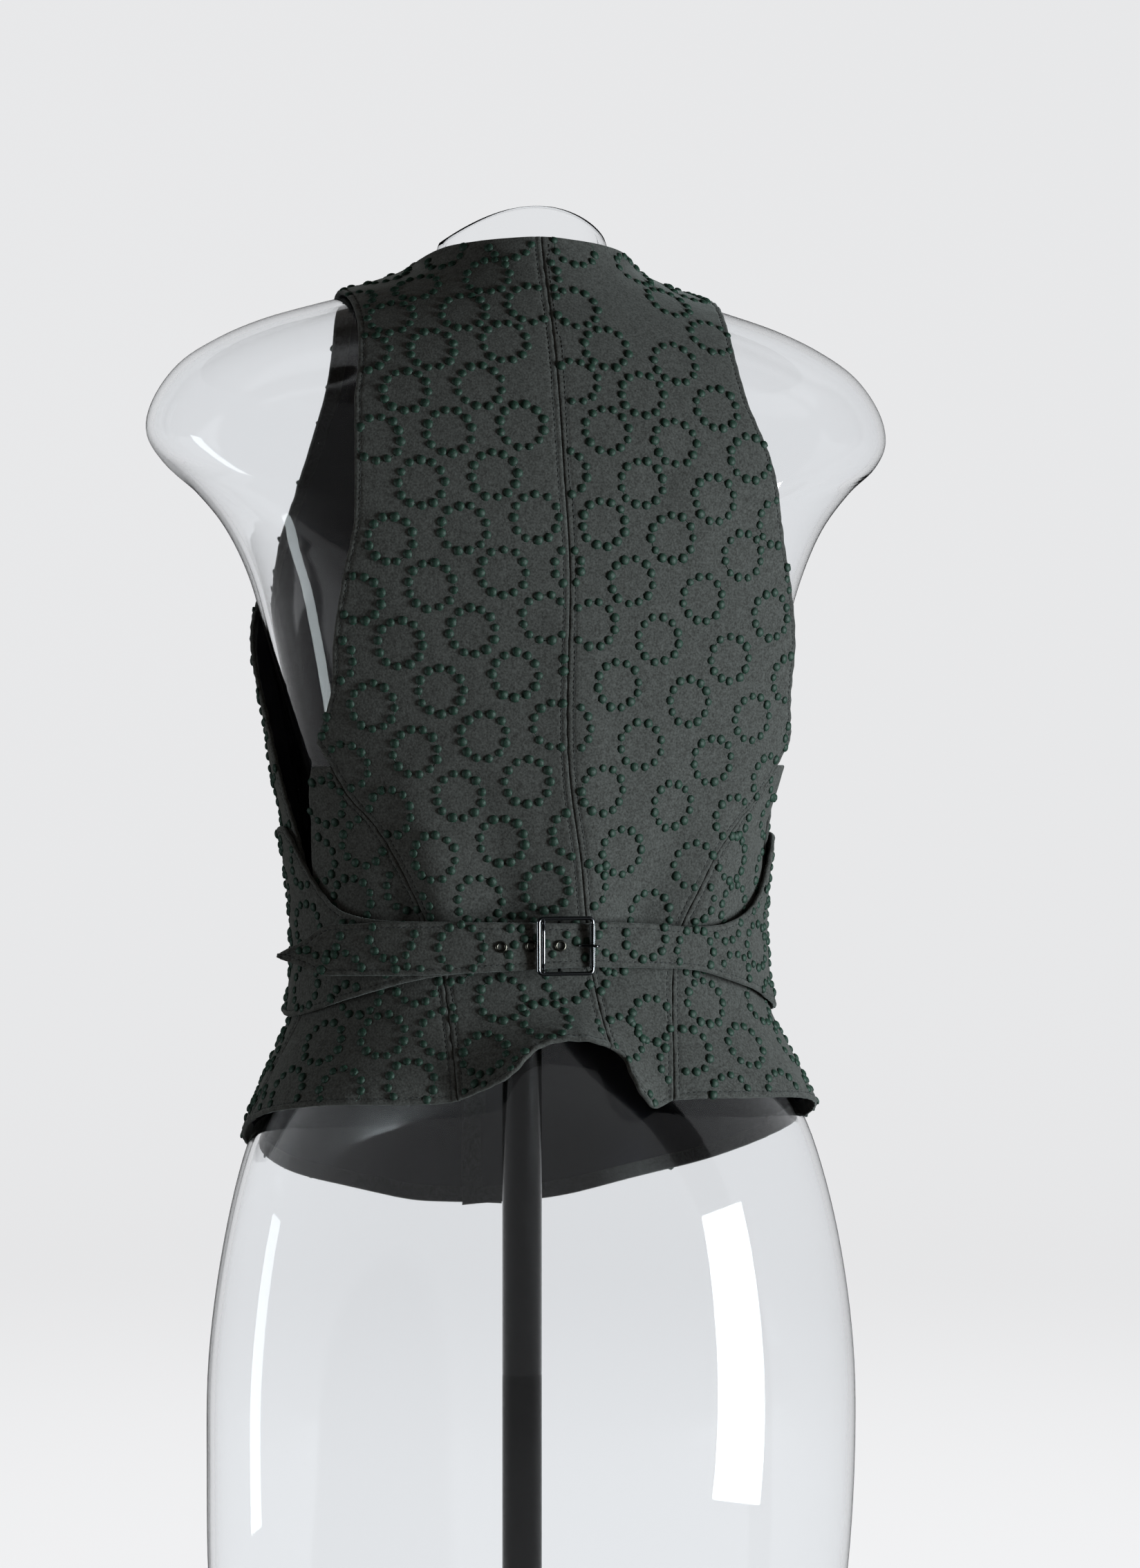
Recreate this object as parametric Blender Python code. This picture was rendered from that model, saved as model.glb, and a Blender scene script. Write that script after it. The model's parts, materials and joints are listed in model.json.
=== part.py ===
"""Sleeveless felted-wool waistcoat with a peplum, buckled behind, on a clear dress form with a stand.

Metres, +Z up. The origin is under the middle of the stand's base. The wearer faces -Y, so the wearer's
left is +X and the back of the garment is at +Y.
"""
import math

import bmesh
import bpy
import numpy as np
from mathutils import Vector
from mathutils.bvhtree import BVHTree

GARMENT = "waistcoat_on_dress_form"

# Driving sizes
CLOTH = 0.0026
SEAM_GAP = 0.0003
FORM_WALL = 0.004
BASE_RADIUS = 0.150
BASE_HEIGHT = 0.012
POLE_RADIUS = 0.011
POLE_TOP = 0.700
FORM_FLOOR = 0.150
FORM_RINGS = 40
FORM_SIDES = 32
COLLAR_RADIUS = 0.026
COLLAR_HEIGHT = 0.030

# The form from its floor up to the neck's rim. Every row is a ring: its side point, the heights and depths of
# its back and front middle points, and how far the cloth's inner face stands off at the side, back and front.
RING_COLUMNS = ("side_x", "side_y", "side_z", "back_y", "back_z", "front_y", "front_z",
                "off_side", "off_back", "off_front")
RINGS = (
    (0.020, 0.000, 0.150, 0.020, 0.150, -0.020, 0.150, 0.010, 0.010, 0.010),
    (0.090, 0.010, 0.150, 0.065, 0.150, -0.050, 0.150, 0.010, 0.010, 0.010),
    (0.150, 0.016, 0.153, 0.100, 0.153, -0.080, 0.153, 0.010, 0.010, 0.010),
    (0.171, 0.022, 0.170, 0.116, 0.170, -0.090, 0.170, 0.010, 0.010, 0.010),
    (0.178, 0.028, 0.224, 0.128, 0.224, -0.092, 0.224, 0.010, 0.010, 0.010),
    (0.180, 0.035, 0.290, 0.137, 0.290, -0.092, 0.290, 0.010, 0.010, 0.010),
    (0.179, 0.035, 0.350, 0.138, 0.350, -0.094, 0.350, 0.010, 0.010, 0.010),
    (0.171, 0.034, 0.410, 0.131, 0.410, -0.097, 0.410, 0.002, 0.010, 0.006),
    (0.158, 0.031, 0.462, 0.119, 0.462, -0.097, 0.462, 0.002, 0.018, 0.008),
    (0.141, 0.031, 0.500, 0.106, 0.500, -0.093, 0.500, 0.005, 0.016, 0.009),
    (0.127, 0.028, 0.537, 0.096, 0.537, -0.089, 0.537, 0.003, 0.010, 0.007),
    (0.1238, 0.024, 0.575, 0.090, 0.575, -0.087, 0.575, 0.0026, 0.0078, 0.006),
    (0.1250, 0.020, 0.620, 0.092, 0.620, -0.090, 0.620, 0.005, 0.011, 0.007),
    (0.129, 0.014, 0.660, 0.096, 0.660, -0.096, 0.660, 0.009, 0.011, 0.007),
    (0.137, 0.014, 0.703, 0.101, 0.693, -0.103, 0.693, 0.008, 0.008, 0.006),
    (0.146, 0.016, 0.745, 0.105, 0.722, -0.110, 0.722, 0.008, 0.005, 0.005),
    (0.155, 0.016, 0.776, 0.108, 0.745, -0.113, 0.742, 0.006, 0.003, 0.006),
    (0.168, 0.012, 0.803, 0.110, 0.768, -0.114, 0.760, 0.005, 0.0022, 0.006),
    (0.185, 0.008, 0.824, 0.110, 0.786, -0.113, 0.776, 0.005, 0.0022, 0.005),
    (0.201, 0.004, 0.838, 0.110, 0.802, -0.112, 0.790, 0.003, 0.0022, 0.003),
    (0.209, 0.000, 0.853, 0.109, 0.817, -0.110, 0.803, 0.003, 0.0022, 0.002),
    (0.205, 0.000, 0.871, 0.107, 0.832, -0.107, 0.816, 0.002, 0.0022, 0.002),
    (0.191, 0.000, 0.890, 0.104, 0.847, -0.102, 0.830, 0.002, 0.002, 0.002),
    (0.170, 0.000, 0.904, 0.099, 0.864, -0.095, 0.846, 0.0014, 0.002, 0.002),
    (0.145, 0.000, 0.915, 0.092, 0.882, -0.087, 0.863, 0.0012, 0.002, 0.002),
    (0.115, 0.000, 0.924, 0.083, 0.901, -0.078, 0.881, 0.0012, 0.002, 0.002),
    (0.085, 0.000, 0.932, 0.072, 0.920, -0.068, 0.899, 0.0016, 0.002, 0.002),
    (0.062, 0.000, 0.940, 0.060, 0.939, -0.058, 0.915, 0.0025, 0.003, 0.002),
    (0.051, 0.000, 0.949, 0.051, 0.956, -0.050, 0.929, 0.006, 0.004, 0.003),
    (0.0465, 0.000, 0.960, 0.0465, 0.975, -0.0465, 0.944, 0.006, 0.005, 0.003),
)
FIRST_CLOTH_RING = 6


def smooth_table(rows, steps):
    """Read a table of rows at evenly spaced steps along a Catmull-Rom curve through them."""
    rows = np.asarray(rows, float)
    padded = np.vstack((2 * rows[0] - rows[1], rows, 2 * rows[-1] - rows[-2]))
    out = []
    for place in np.linspace(0, len(rows) - 1, steps):
        k = min(int(place), len(rows) - 2)
        t = place - k
        before, start, end, after = padded[k:k + 4]
        out.append(0.5 * (2 * start + (end - before) * t
                          + (2 * before - 5 * start + 4 * end - after) * t * t
                          + (3 * start - before - 3 * end + after) * t ** 3))
    return np.array(out)


def ring_points(row, sides, cloth=False):
    """Points of one ring, from the wearer's left side round the back."""
    side_x, side_y, side_z, back_y, back_z, front_y, front_z, off_side, off_back, off_front = row
    if cloth:
        side_x += off_side
        back_y += off_back
        front_y -= off_front
        side_z += off_side * max(0.0, min(1.0, (side_z - 0.86) / 0.05))
    points = []
    for k in range(sides):
        angle = 2 * math.pi * k / sides
        c, s = math.cos(angle), math.sin(angle)
        depth, height = (back_y - side_y, back_z) if s >= 0 else (side_y - front_y, front_z)
        points.append((side_x * c, side_y + depth * s, side_z + (height - side_z) * s * s))
    return points


def grid_faces(rows, columns, closed):
    """Quads over a grid of points, row by row; closed joins the last column to the first."""
    faces = []
    for i in range(rows - 1):
        for j in range(columns if closed else columns - 1):
            k = (j + 1) % columns
            faces.append((i * columns + j, i * columns + k, (i + 1) * columns + k, (i + 1) * columns + j))
    return faces


def ring_surface(first_ring, steps, sides, cloth):
    """The rings as points and quads, finely sampled, for the form or the cloth's inner face."""
    table = smooth_table(RINGS[first_ring:], steps)
    points = [p for row in table for p in ring_points(row, sides, cloth)]
    return points, grid_faces(steps, sides, True)


class Body:
    """The cloth's inner surface, which gives the nearest point to a rough place and the way out there."""

    def __init__(self):
        self.columns = 200
        self.points, self.faces = ring_surface(FIRST_CLOTH_RING, 190, self.columns, True)
        self.points = [Vector(p) for p in self.points]
        self.tree = BVHTree.FromPolygons(self.points, self.faces)
        self.normals = [Vector() for _ in self.points]
        for face in self.faces:
            a, b, c, d = (self.points[k] for k in face)
            normal = (c - a).cross(d - b).normalized()
            for k in face:
                self.normals[k] += normal
        self.normals = [n.normalized() for n in self.normals]

    def place(self, point):
        hit, _, index, _ = self.tree.find_nearest(Vector(point))
        way = Vector()
        for k in self.faces[index]:
            way += self.normals[k] / ((self.points[k] - hit).length_squared + 1e-8)
        return hit, way.normalized()


def wall_mesh(name, inner, outer, material, collection):
    """One closed wall between two grids of the same size, as rows of points."""
    rows, columns = len(inner), len(inner[0])
    mesh = bmesh.new()
    low = [[mesh.verts.new(p) for p in row] for row in inner]
    high = [[mesh.verts.new(p) for p in row] for row in outer]
    for i in range(rows - 1):
        for j in range(columns - 1):
            mesh.faces.new((high[i][j], high[i][j + 1], high[i + 1][j + 1], high[i + 1][j]))
            mesh.faces.new((low[i][j], low[i + 1][j], low[i + 1][j + 1], low[i][j + 1]))
        mesh.faces.new((low[i][0], high[i][0], high[i + 1][0], low[i + 1][0]))
        mesh.faces.new((low[i][-1], low[i + 1][-1], high[i + 1][-1], high[i][-1]))
    for j in range(columns - 1):
        mesh.faces.new((low[0][j], low[0][j + 1], high[0][j + 1], high[0][j]))
        mesh.faces.new((low[-1][j], high[-1][j], high[-1][j + 1], low[-1][j + 1]))
    bmesh.ops.remove_doubles(mesh, verts=mesh.verts, dist=1e-6)
    bmesh.ops.recalc_face_normals(mesh, faces=mesh.faces)
    return mesh_object(name, mesh, material, collection)


def mesh_object(name, mesh, material, collection):
    data = bpy.data.meshes.new(name)
    mesh.to_mesh(data)
    mesh.free()
    data.materials.append(material)
    data.shade_smooth()
    data.set_sharp_from_angle(angle=math.radians(40))
    thing = bpy.data.objects.new(name, data)
    collection.objects.link(thing)
    return thing


def make_material(name, colour, roughness, metallic=0.0):
    material = bpy.data.materials.new(name)
    material.use_nodes = True
    shader = material.node_tree.nodes["Principled BSDF"]
    shader.inputs["Base Color"].default_value = (*colour, 1)
    shader.inputs["Roughness"].default_value = roughness
    shader.inputs["Metallic"].default_value = metallic
    return material


# Soft folds of the body's cloth: a line from (x0, z0) to (x1, z1) on the back or front (side 1 or -1), its
# half-width and its height out, negative for a hollow.
FOLD_COLUMNS = ("side", "x0", "z0", "x1", "z1", "half_width", "height")
FOLDS = (
    (1, -0.006, 0.740, -0.012, 0.590, 0.016, 0.0050),
    (1, 0.044, 0.655, 0.030, 0.590, 0.014, -0.0045),
    (1, 0.080, 0.660, 0.058, 0.585, 0.010, 0.0035),
    (1, 0.092, 0.625, 0.078, 0.588, 0.009, -0.0040),
    (1, -0.076, 0.665, -0.046, 0.590, 0.016, -0.0055),
    (1, -0.118, 0.680, -0.082, 0.595, 0.013, 0.0035),
    (1, -0.050, 0.850, -0.078, 0.800, 0.010, 0.0016),
    (1, -0.034, 0.790, -0.062, 0.835, 0.009, -0.0012),
    (-1, 0.050, 0.690, 0.085, 0.600, 0.016, 0.0040),
    (-1, -0.055, 0.700, -0.085, 0.600, 0.015, 0.0038),
    (-1, 0.080, 0.650, 0.110, 0.590, 0.011, -0.0030),
    (-1, -0.084, 0.655, -0.112, 0.590, 0.011, -0.0030),
)

# The peplum's waves: the angle round the body at the waist and at the hem (90 is the middle of the back), the
# half-widths on the sides nearer the wearer's left and right, and how far the crest stands out at the hem.
WAVE_COLUMNS = ("waist_angle", "hem_angle", "half_left", "half_right", "out")
WAVES = (
    (92.5, 91.0, 19.0, 10.0, 0.052),
    (117.0, 114.0, 7.0, 9.0, -0.010),
    (63.0, 62.0, 11.0, 9.0, -0.009),
    (36.0, 33.0, 16.0, 14.0, 0.008),
    (148.0, 148.0, 13.0, 15.0, 0.008),
    (-38.0, -38.0, 14.0, 14.0, 0.007),
    (-142.0, -142.0, 14.0, 14.0, 0.007),
    (-90.0, -90.0, 20.0, 20.0, 0.004),
)
WAVE_TOP = 0.548
WAVE_LENGTH = 0.066


def bump(offset, half_left, half_right):
    half = half_left if offset < 0 else half_right
    return math.exp(-(offset / half) ** 2)


def fold_height(point):
    """How far the folds lift the cloth at a point."""
    x, y, z = point
    total = 0.0
    for side, x0, z0, x1, z1, half_width, height in FOLDS:
        if side * y < 0:
            continue
        run = Vector((x1 - x0, z1 - z0))
        reach = (x - x0) * run.x + (z - z0) * run.y
        share = max(0.0, min(1.0, reach / run.length_squared))
        gap = math.hypot(x - x0 - share * run.x, z - z0 - share * run.y)
        strength = 0.35 + 0.65 * share
        total += height * strength * math.exp(-(gap / half_width) ** 2)
    drop = (WAVE_TOP - z) / WAVE_LENGTH
    if drop > 0:
        swing = drop ** 1.6 if drop < 1 else 1 + 0.5 * (drop - 1)
        angle = math.degrees(math.atan2(y, x))
        for waist_angle, hem_angle, half_left, half_right, out in WAVES:
            centre = waist_angle + (hem_angle - waist_angle) * min(1.0, drop)
            offset = (angle - centre + 180) % 360 - 180
            total += out * swing * bump(offset, half_left, half_right)
    return total


# Borders of the panels on the wearer's left, mirrored for the right: rough places in x, y, z near the body.
NECK_SIDE = (0.059, 0.010, 0.946)
SHOULDER_EDGE = (0.104, 0.006, 0.928)
NECK_BACK = (
    (0.002, 0.060, 0.958),
    (0.020, 0.057, 0.957),
    (0.037, 0.046, 0.955),
    (0.050, 0.030, 0.952),
    NECK_SIDE,
)
ARMHOLE_BACK = (
    SHOULDER_EDGE,
    (0.101, 0.048, 0.908),
    (0.1015, 0.068, 0.885),
    (0.105, 0.078, 0.860),
    (0.110, 0.080, 0.829),
    (0.1125, 0.080, 0.800),
    (0.116, 0.074, 0.770),
    (0.1185, 0.069, 0.741),
    (0.120, 0.066, 0.711),
    (0.126, 0.058, 0.684),
)
ARMHOLE_BACK_LOW = (
    (0.126, 0.058, 0.684),
    (0.128, 0.052, 0.655),
    (0.128, 0.047, 0.622),
    (0.1235, 0.046, 0.590),
)
SIDE_SEAM = (
    (0.1235, 0.046, 0.590),
    (0.122, 0.044, 0.565),
    (0.130, 0.044, 0.540),
    (0.144, 0.042, 0.512),
    (0.154, 0.040, 0.478),
)
SIDE_SEAM_BACK = (
    (0.126, 0.058, 0.684),
    (0.110, 0.068, 0.655),
    (0.0985, 0.076, 0.640),
    (0.087, 0.082, 0.622),
    (0.079, 0.084, 0.607),
    (0.070, 0.086, 0.588),
    (0.0625, 0.090, 0.560),
    (0.060, 0.102, 0.525),
    (0.059, 0.116, 0.494),
)
CENTRE_BACK = (
    (0.002, 0.060, 0.958),
    (0.002, 0.085, 0.900),
    (0.002, 0.110, 0.830),
    (-0.001, 0.112, 0.770),
    (0.000, 0.109, 0.700),
    (-0.002, 0.106, 0.660),
    (-0.008, 0.102, 0.620),
    (-0.013, 0.098, 0.575),
    (-0.018, 0.104, 0.545),
    (-0.020, 0.112, 0.514),
)
# The back hem from the side-back seam to the centre seam, for the wearer's left and right
HEM_BACK_LEFT = ((-0.020, 0.114, 0.517), (0.002, 0.114, 0.519), (0.018, 0.115, 0.515), (0.034, 0.117, 0.500),
                 (0.059, 0.116, 0.494))
HEM_BACK_RIGHT = ((-0.020, 0.114, 0.517), (-0.028, 0.114, 0.513), (-0.034, 0.116, 0.496),
                  (-0.044, 0.117, 0.488), (-0.059, 0.116, 0.494))
HEM_SIDE = ((0.059, 0.116, 0.494), (0.095, 0.100, 0.489), (0.128, 0.075, 0.484), (0.154, 0.040, 0.478))
ARMHOLE_FRONT = (
    SHOULDER_EDGE,
    (0.100, -0.030, 0.916),
    (0.0985, -0.052, 0.902),
    (0.100, -0.072, 0.884),
    (0.104, -0.082, 0.862),
    (0.109, -0.088, 0.838),
    (0.116, -0.088, 0.815),
    (0.126, -0.080, 0.792),
    (0.137, -0.058, 0.770),
    (0.147, -0.030, 0.748),
    (0.149, 0.000, 0.718),
    (0.143, 0.018, 0.680),
    (0.135, 0.030, 0.645),
    (0.127, 0.040, 0.612),
    (0.1235, 0.046, 0.590),
)
NECK_FRONT = (
    NECK_SIDE,
    (0.060, -0.030, 0.927),
    (0.055, -0.066, 0.895),
    (0.044, -0.092, 0.860),
    (0.028, -0.106, 0.825),
    (0.008, -0.115, 0.790),
    (-0.010, -0.116, 0.765),
)
CENTRE_FRONT = (
    (-0.010, -0.116, 0.765),
    (-0.012, -0.110, 0.700),
    (-0.012, -0.100, 0.640),
    (-0.012, -0.094, 0.575),
    (-0.012, -0.104, 0.510),
    (-0.012, -0.108, 0.414),
)
HEM_FRONT = (
    (-0.012, -0.108, 0.414),
    (0.040, -0.106, 0.418),
    (0.085, -0.092, 0.429),
    (0.120, -0.066, 0.441),
    (0.140, -0.030, 0.454),
    (0.149, 0.006, 0.466),
    (0.154, 0.040, 0.478),
)
# The whole back hangs a little to the wearer's right below the shoulder blades: heights and how far.
LEAN_COLUMNS = ("z", "shift")
LEAN = ((0.590, 0.000), (0.620, 0.000), (0.655, -0.004), (0.684, -0.011), (0.741, -0.010), (0.800, -0.008),
        (0.829, -0.004), (0.860, 0.002), (0.885, 0.0015), (0.915, 0.000))
# The back's sides stand off the body between the shoulder blades and the belt.
BACK_EDGE_LIFT = 0.012
BACK_LIFT_MIDDLE = 0.722
BACK_LIFT_HALF = 0.082
FRONT_OVERLAP = 0.0042
FLAT_STRAP_HEIGHT = 0.036
# The belt's tabs and straps, from the front to the buckle or the tail: rough places of the top and bottom
# edges on the body, and how far the strap's inner face stands out over what it crosses.
BELT_COLUMNS = ("x", "y", "top_z", "bottom_z", "lift")
BELT_LEFT = (
    (0.112, -0.050, 0.628, 0.536, 0.0038),
    (0.126, -0.012, 0.634, 0.534, 0.0038),
    (0.132, 0.024, 0.638, 0.533, 0.0038),
    (0.129, 0.042, 0.620, 0.534, 0.0040),
    (0.121, 0.055, 0.603, 0.537, 0.0044),
    (0.112, 0.066, 0.5925, 0.542, 0.0052),
    (0.096, 0.080, 0.5880, 0.549, 0.0064),
    (0.074, 0.090, 0.5875, 0.5555, 0.0080),
    (0.050, 0.096, 0.5875, 0.5590, 0.0088),
    (0.025, 0.100, 0.5874, 0.5605, 0.0088),
    (0.0045, 0.101, 0.5872, 0.5612, 0.0086),
)
BELT_RIGHT = (
    (-0.112, -0.050, 0.626, 0.540, 0.0038),
    (-0.126, -0.012, 0.631, 0.536, 0.0038),
    (-0.132, 0.024, 0.634, 0.533, 0.0038),
    (-0.129, 0.042, 0.622, 0.536, 0.0042),
    (-0.121, 0.055, 0.604, 0.540, 0.0048),
    (-0.111, 0.066, 0.5925, 0.546, 0.0058),
    (-0.095, 0.080, 0.5850, 0.5525, 0.0070),
    (-0.072, 0.090, 0.5835, 0.5590, 0.0082),
    (-0.050, 0.096, 0.5855, 0.5605, 0.0088),
    (-0.026, 0.100, 0.5872, 0.5612, 0.0098),
    (-0.008, 0.101, 0.5872, 0.5612, 0.0118),
    (0.010, 0.101, 0.5874, 0.5605, 0.0122),
    (0.040, 0.099, 0.5878, 0.5590, 0.0122),
    (0.070, 0.092, 0.5880, 0.5575, 0.0120),
    (0.092, 0.082, 0.5872, 0.5570, 0.0124),
    (0.105, 0.0725, 0.5860, 0.5566, 0.0138),
    (0.1140, 0.0635, 0.5850, 0.5565, 0.0158),
    (0.1205, 0.056, 0.5765, 0.5608, 0.0196),
    (0.1265, 0.047, 0.5681, 0.5657, 0.0260),
)
BELT_STEP = 0.0085

# The buckle, where the straps meet behind, and the metal-edged holes in the right strap
BUCKLE_LEFT_X = 0.0151
BUCKLE_RIGHT_X = -0.0123
KEEPER_X = 0.0127
PIVOT_X = 0.0030
BUCKLE_Z = 0.5746
BUCKLE_HALF_HEIGHT = 0.0146
BUCKLE_OUT = 0.0176
STRAP_OUT = 0.0120
PIVOT_OUT = 0.0106
WIRE_RADIUS = 0.0011
PIVOT_RADIUS = 0.0009
PRONG_RADIUS = 0.0008
COIL_RADIUS = 0.0023
COIL_BORE = 0.0015
COIL_HALF_LENGTH = 0.0118
COIL_TURNS = 10
EYELET_PITCH = 0.0149
FIRST_EYELET_X = 0.0037
EYELET_COUNT = 3
PRONG_HOLE_X = -0.0062
PRONG_HOLE = 0.0014
EYELET_BORE = 0.0017
EYELET_BARREL = 0.0025
EYELET_FLANGE = 0.0031
STRAP_HOLE = 0.0029

BUTTON_COUNT = 5
BUTTON_TOP_Z = 0.745
BUTTON_PITCH = 0.062
BUTTON_RADIUS = 0.0095
BUTTON_HEIGHT = 0.0035


def along(rows, steps):
    """Evenly spaced points, by length, on a smooth curve through rough places."""
    dense = smooth_table(rows, 160)
    lengths = np.concatenate(([0], np.cumsum(np.linalg.norm(np.diff(dense[:, :3], axis=0), axis=1))))
    even = np.linspace(0, lengths[-1], steps)
    return np.column_stack([np.interp(even, lengths, dense[:, k]) for k in range(dense.shape[1])])


def back_lift(point):
    """The back stands off at its edges between the shoulder blades and the belt."""
    x, _, z = point
    edge = max(0.0, (abs(x) - 0.050) / 0.085)
    height = max(0.0, 1 - ((z - BACK_LIFT_MIDDLE) / BACK_LIFT_HALF) ** 2)
    return BACK_EDGE_LIFT * edge * edge * height


def lean(rows):
    """Rough places moved sideways as the back hangs."""
    rows = np.array(rows, float)
    heights, shifts = np.array(LEAN).T
    rows[:, 0] += np.interp(rows[:, 2], heights, shifts)
    return rows


def coons(left, right, top, bottom):
    """Rough places of a panel's grid between four borders, by rows from the top."""
    left, right, top, bottom = (np.asarray(edge) for edge in (left, right, top, bottom))
    rows, columns = len(left), len(top)
    grid = []
    for i in range(rows):
        down = i / (rows - 1)
        row = []
        for j in range(columns):
            u = j / (columns - 1)
            across = (1 - u) * left[i] + u * right[i]
            bend_top = top[j] - ((1 - u) * left[0] + u * right[0])
            bend_bottom = bottom[j] - ((1 - u) * left[-1] + u * right[-1])
            row.append(across + (1 - down) ** 2 * bend_top + down ** 4 * bend_bottom)
        grid.append(row)
    return grid


def pulled_in(grid):
    """The grid with its side borders half a seam's gap inside."""
    for row in grid:
        for edge, inside in ((0, 1), (-1, -2)):
            step = row[inside] - row[edge]
            length = np.linalg.norm(step)
            row[edge] = row[edge] + step * min(0.3, 0.5 * SEAM_GAP / max(length, 1e-6))
    for edge, inside in ((0, 1), (-1, -2)):
        for j, point in enumerate(grid[edge]):
            step = grid[inside][j] - point
            length = np.linalg.norm(step)
            grid[edge][j] = point + step * min(0.3, 0.5 * SEAM_GAP / max(length, 1e-6))
    return grid


def panel(name, left, right, top, bottom, lift, body, material, collection):
    """A cloth wall between two borders with the same number of rows, folded with the body's cloth."""
    inner, outer = [], []
    for row in pulled_in(coons(left, right, top, bottom)):
        low_row, high_row = [], []
        for rough in row:
            surface, way = body.place(rough)
            out = lift(surface) + fold_height(surface)
            low_row.append(surface + way * out)
            high_row.append(surface + way * (out + CLOTH))
        inner.append(low_row)
        outer.append(high_row)
    return wall_mesh(name, inner, outer, material, collection)


def build_back(body, wool, collection):
    neckline = along(NECK_BACK, 7)
    shoulder = along((NECK_SIDE, SHOULDER_EDGE), 4)
    for name, sign, hem in (("left", 1, HEM_BACK_LEFT), ("right", -1, HEM_BACK_RIGHT)):
        side = np.array((sign, 1, 1))
        seam = along(SIDE_SEAM_BACK, 15) * side
        outer = lean(np.vstack((along(ARMHOLE_BACK, 19) * side, seam[1:])))
        centre = along(CENTRE_BACK, len(outer))
        top = np.vstack((neckline, shoulder[1:])) * side
        top[0] = centre[0]
        bottom = along(hem, len(top))
        panel(f"back_centre_{name}", centre, outer, top, bottom, back_lift, body, wool, collection)
        seam = outer[-14:]
        edge = lean(np.vstack((along(ARMHOLE_BACK_LOW, 8), along(SIDE_SEAM, 8)[1:])) * side)[1:]
        top = [seam[0] * (1 - u) + edge[0] * u for u in np.linspace(0, 1, 7)]
        bottom = along(HEM_SIDE, 7) * side
        panel(f"back_side_{name}", seam, edge, top, bottom, back_lift, body, wool, collection)


def build_front(body, wool, collection):
    """Both fronts; gives back the one that lies on top where they lap."""
    shoulder = along((NECK_SIDE, SHOULDER_EDGE), 13)
    for name, sign in (("left", 1), ("right", -1)):
        side = np.array((sign, 1, 1))
        outer = np.vstack((along(ARMHOLE_FRONT, 19), along(SIDE_SEAM, 8)[1:])) * side
        neck = along(NECK_FRONT, 13)
        centre = along(CENTRE_FRONT, len(outer) - len(neck) + 1)
        inner = np.vstack((neck, centre[1:])) * side
        over = FRONT_OVERLAP if name == "left" else 0.0

        def lift(point, over=over):
            near = max(0.0, min(1.0, (0.045 - abs(point[0])) / 0.020))
            below = max(0.0, min(1.0, (0.83 - point[2]) / 0.03))
            return over * near * below

        front = panel(f"front_{name}", inner, outer, shoulder * side, along(HEM_FRONT, 13) * side, lift, body,
                      wool, collection)
        if name == "left":
            upper = front
    return upper


def strap_row(row, body, columns):
    """Places across a strap's inner face, bottom to top, and the ways out; a narrow strap is straight."""
    x, y, top, bottom, lift = row
    places, ways = [], []
    for share in np.linspace(0, 1, columns):
        surface, way = body.place((x, y, bottom + share * (top - bottom)))
        places.append(surface + way * lift)
        ways.append(way)
    flat = max(0.0, min(1.0, (2 * FLAT_STRAP_HEIGHT - (top - bottom)) / FLAT_STRAP_HEIGHT))
    middle = sum(ways, Vector()).normalized()
    for k, share in enumerate(np.linspace(0, 1, columns)):
        straight = places[0].lerp(places[-1], share)
        places[k] = places[k].lerp(straight, flat)
        ways[k] = ways[k].lerp(middle, flat).normalized()
    return places, ways


def belt_place(table, body, x, extra=0.0):
    """A place on the middle of a strap at x across the back, and the way out."""
    rows = along(table, 240)
    rows = rows[rows[:, 1] > 0.060]
    rows = rows[np.argsort(rows[:, 0])]
    row = [x] + [np.interp(x, rows[:, 0], rows[:, k]) for k in (1, 2, 3, 4)]
    places, ways = strap_row(row, body, 3)
    return places[1] + ways[1] * extra, ways[1]


def build_belt(name, table, body, wool, collection):
    lengths = np.linalg.norm(np.diff(along(table, 200)[:, :3], axis=0), axis=1).sum()
    inner, outer = [], []
    for row in along(table, int(lengths / BELT_STEP)):
        places, ways = strap_row(row, body, 5)
        inner.append(places)
        outer.append([place + way * CLOTH for place, way in zip(places, ways)])
    return wall_mesh(name, inner, outer, wool, collection)


def cylinder(name, radius, start, end, material, collection, sides=16):
    """A closed round bar between two places."""
    start, end = Vector(start), Vector(end)
    mesh = bmesh.new()
    turn = Vector((0, 0, 1)).rotation_difference(end - start).to_matrix().to_4x4()
    turn.translation = (start + end) / 2
    bmesh.ops.create_cone(mesh, cap_ends=True, segments=sides, radius1=radius, radius2=radius,
                          depth=(end - start).length, matrix=turn)
    return mesh_object(name, mesh, material, collection)


def wire(name, points, radius, closed, material, collection, resolution=2):
    """A round wire through places, as a solid mesh made from a bevelled curve."""
    curve = bpy.data.curves.new(name, "CURVE")
    curve.dimensions = "3D"
    curve.bevel_depth = radius
    curve.bevel_resolution = resolution
    curve.use_fill_caps = True
    spline = curve.splines.new("POLY")
    spline.points.add(len(points) - 1)
    for target, point in zip(spline.points, points):
        target.co = (*point, 1)
    spline.use_cyclic_u = closed
    thing = bpy.data.objects.new(name + "_curve", curve)
    collection.objects.link(thing)
    depsgraph = bpy.context.evaluated_depsgraph_get()
    data = bpy.data.meshes.new_from_object(thing.evaluated_get(depsgraph))
    bpy.data.objects.remove(thing)
    mesh = bmesh.new()
    mesh.from_mesh(data)
    bmesh.ops.remove_doubles(mesh, verts=mesh.verts, dist=1e-6)
    bmesh.ops.recalc_face_normals(mesh, faces=mesh.faces)
    bpy.data.meshes.remove(data)
    return mesh_object(name, mesh, material, collection)


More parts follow.
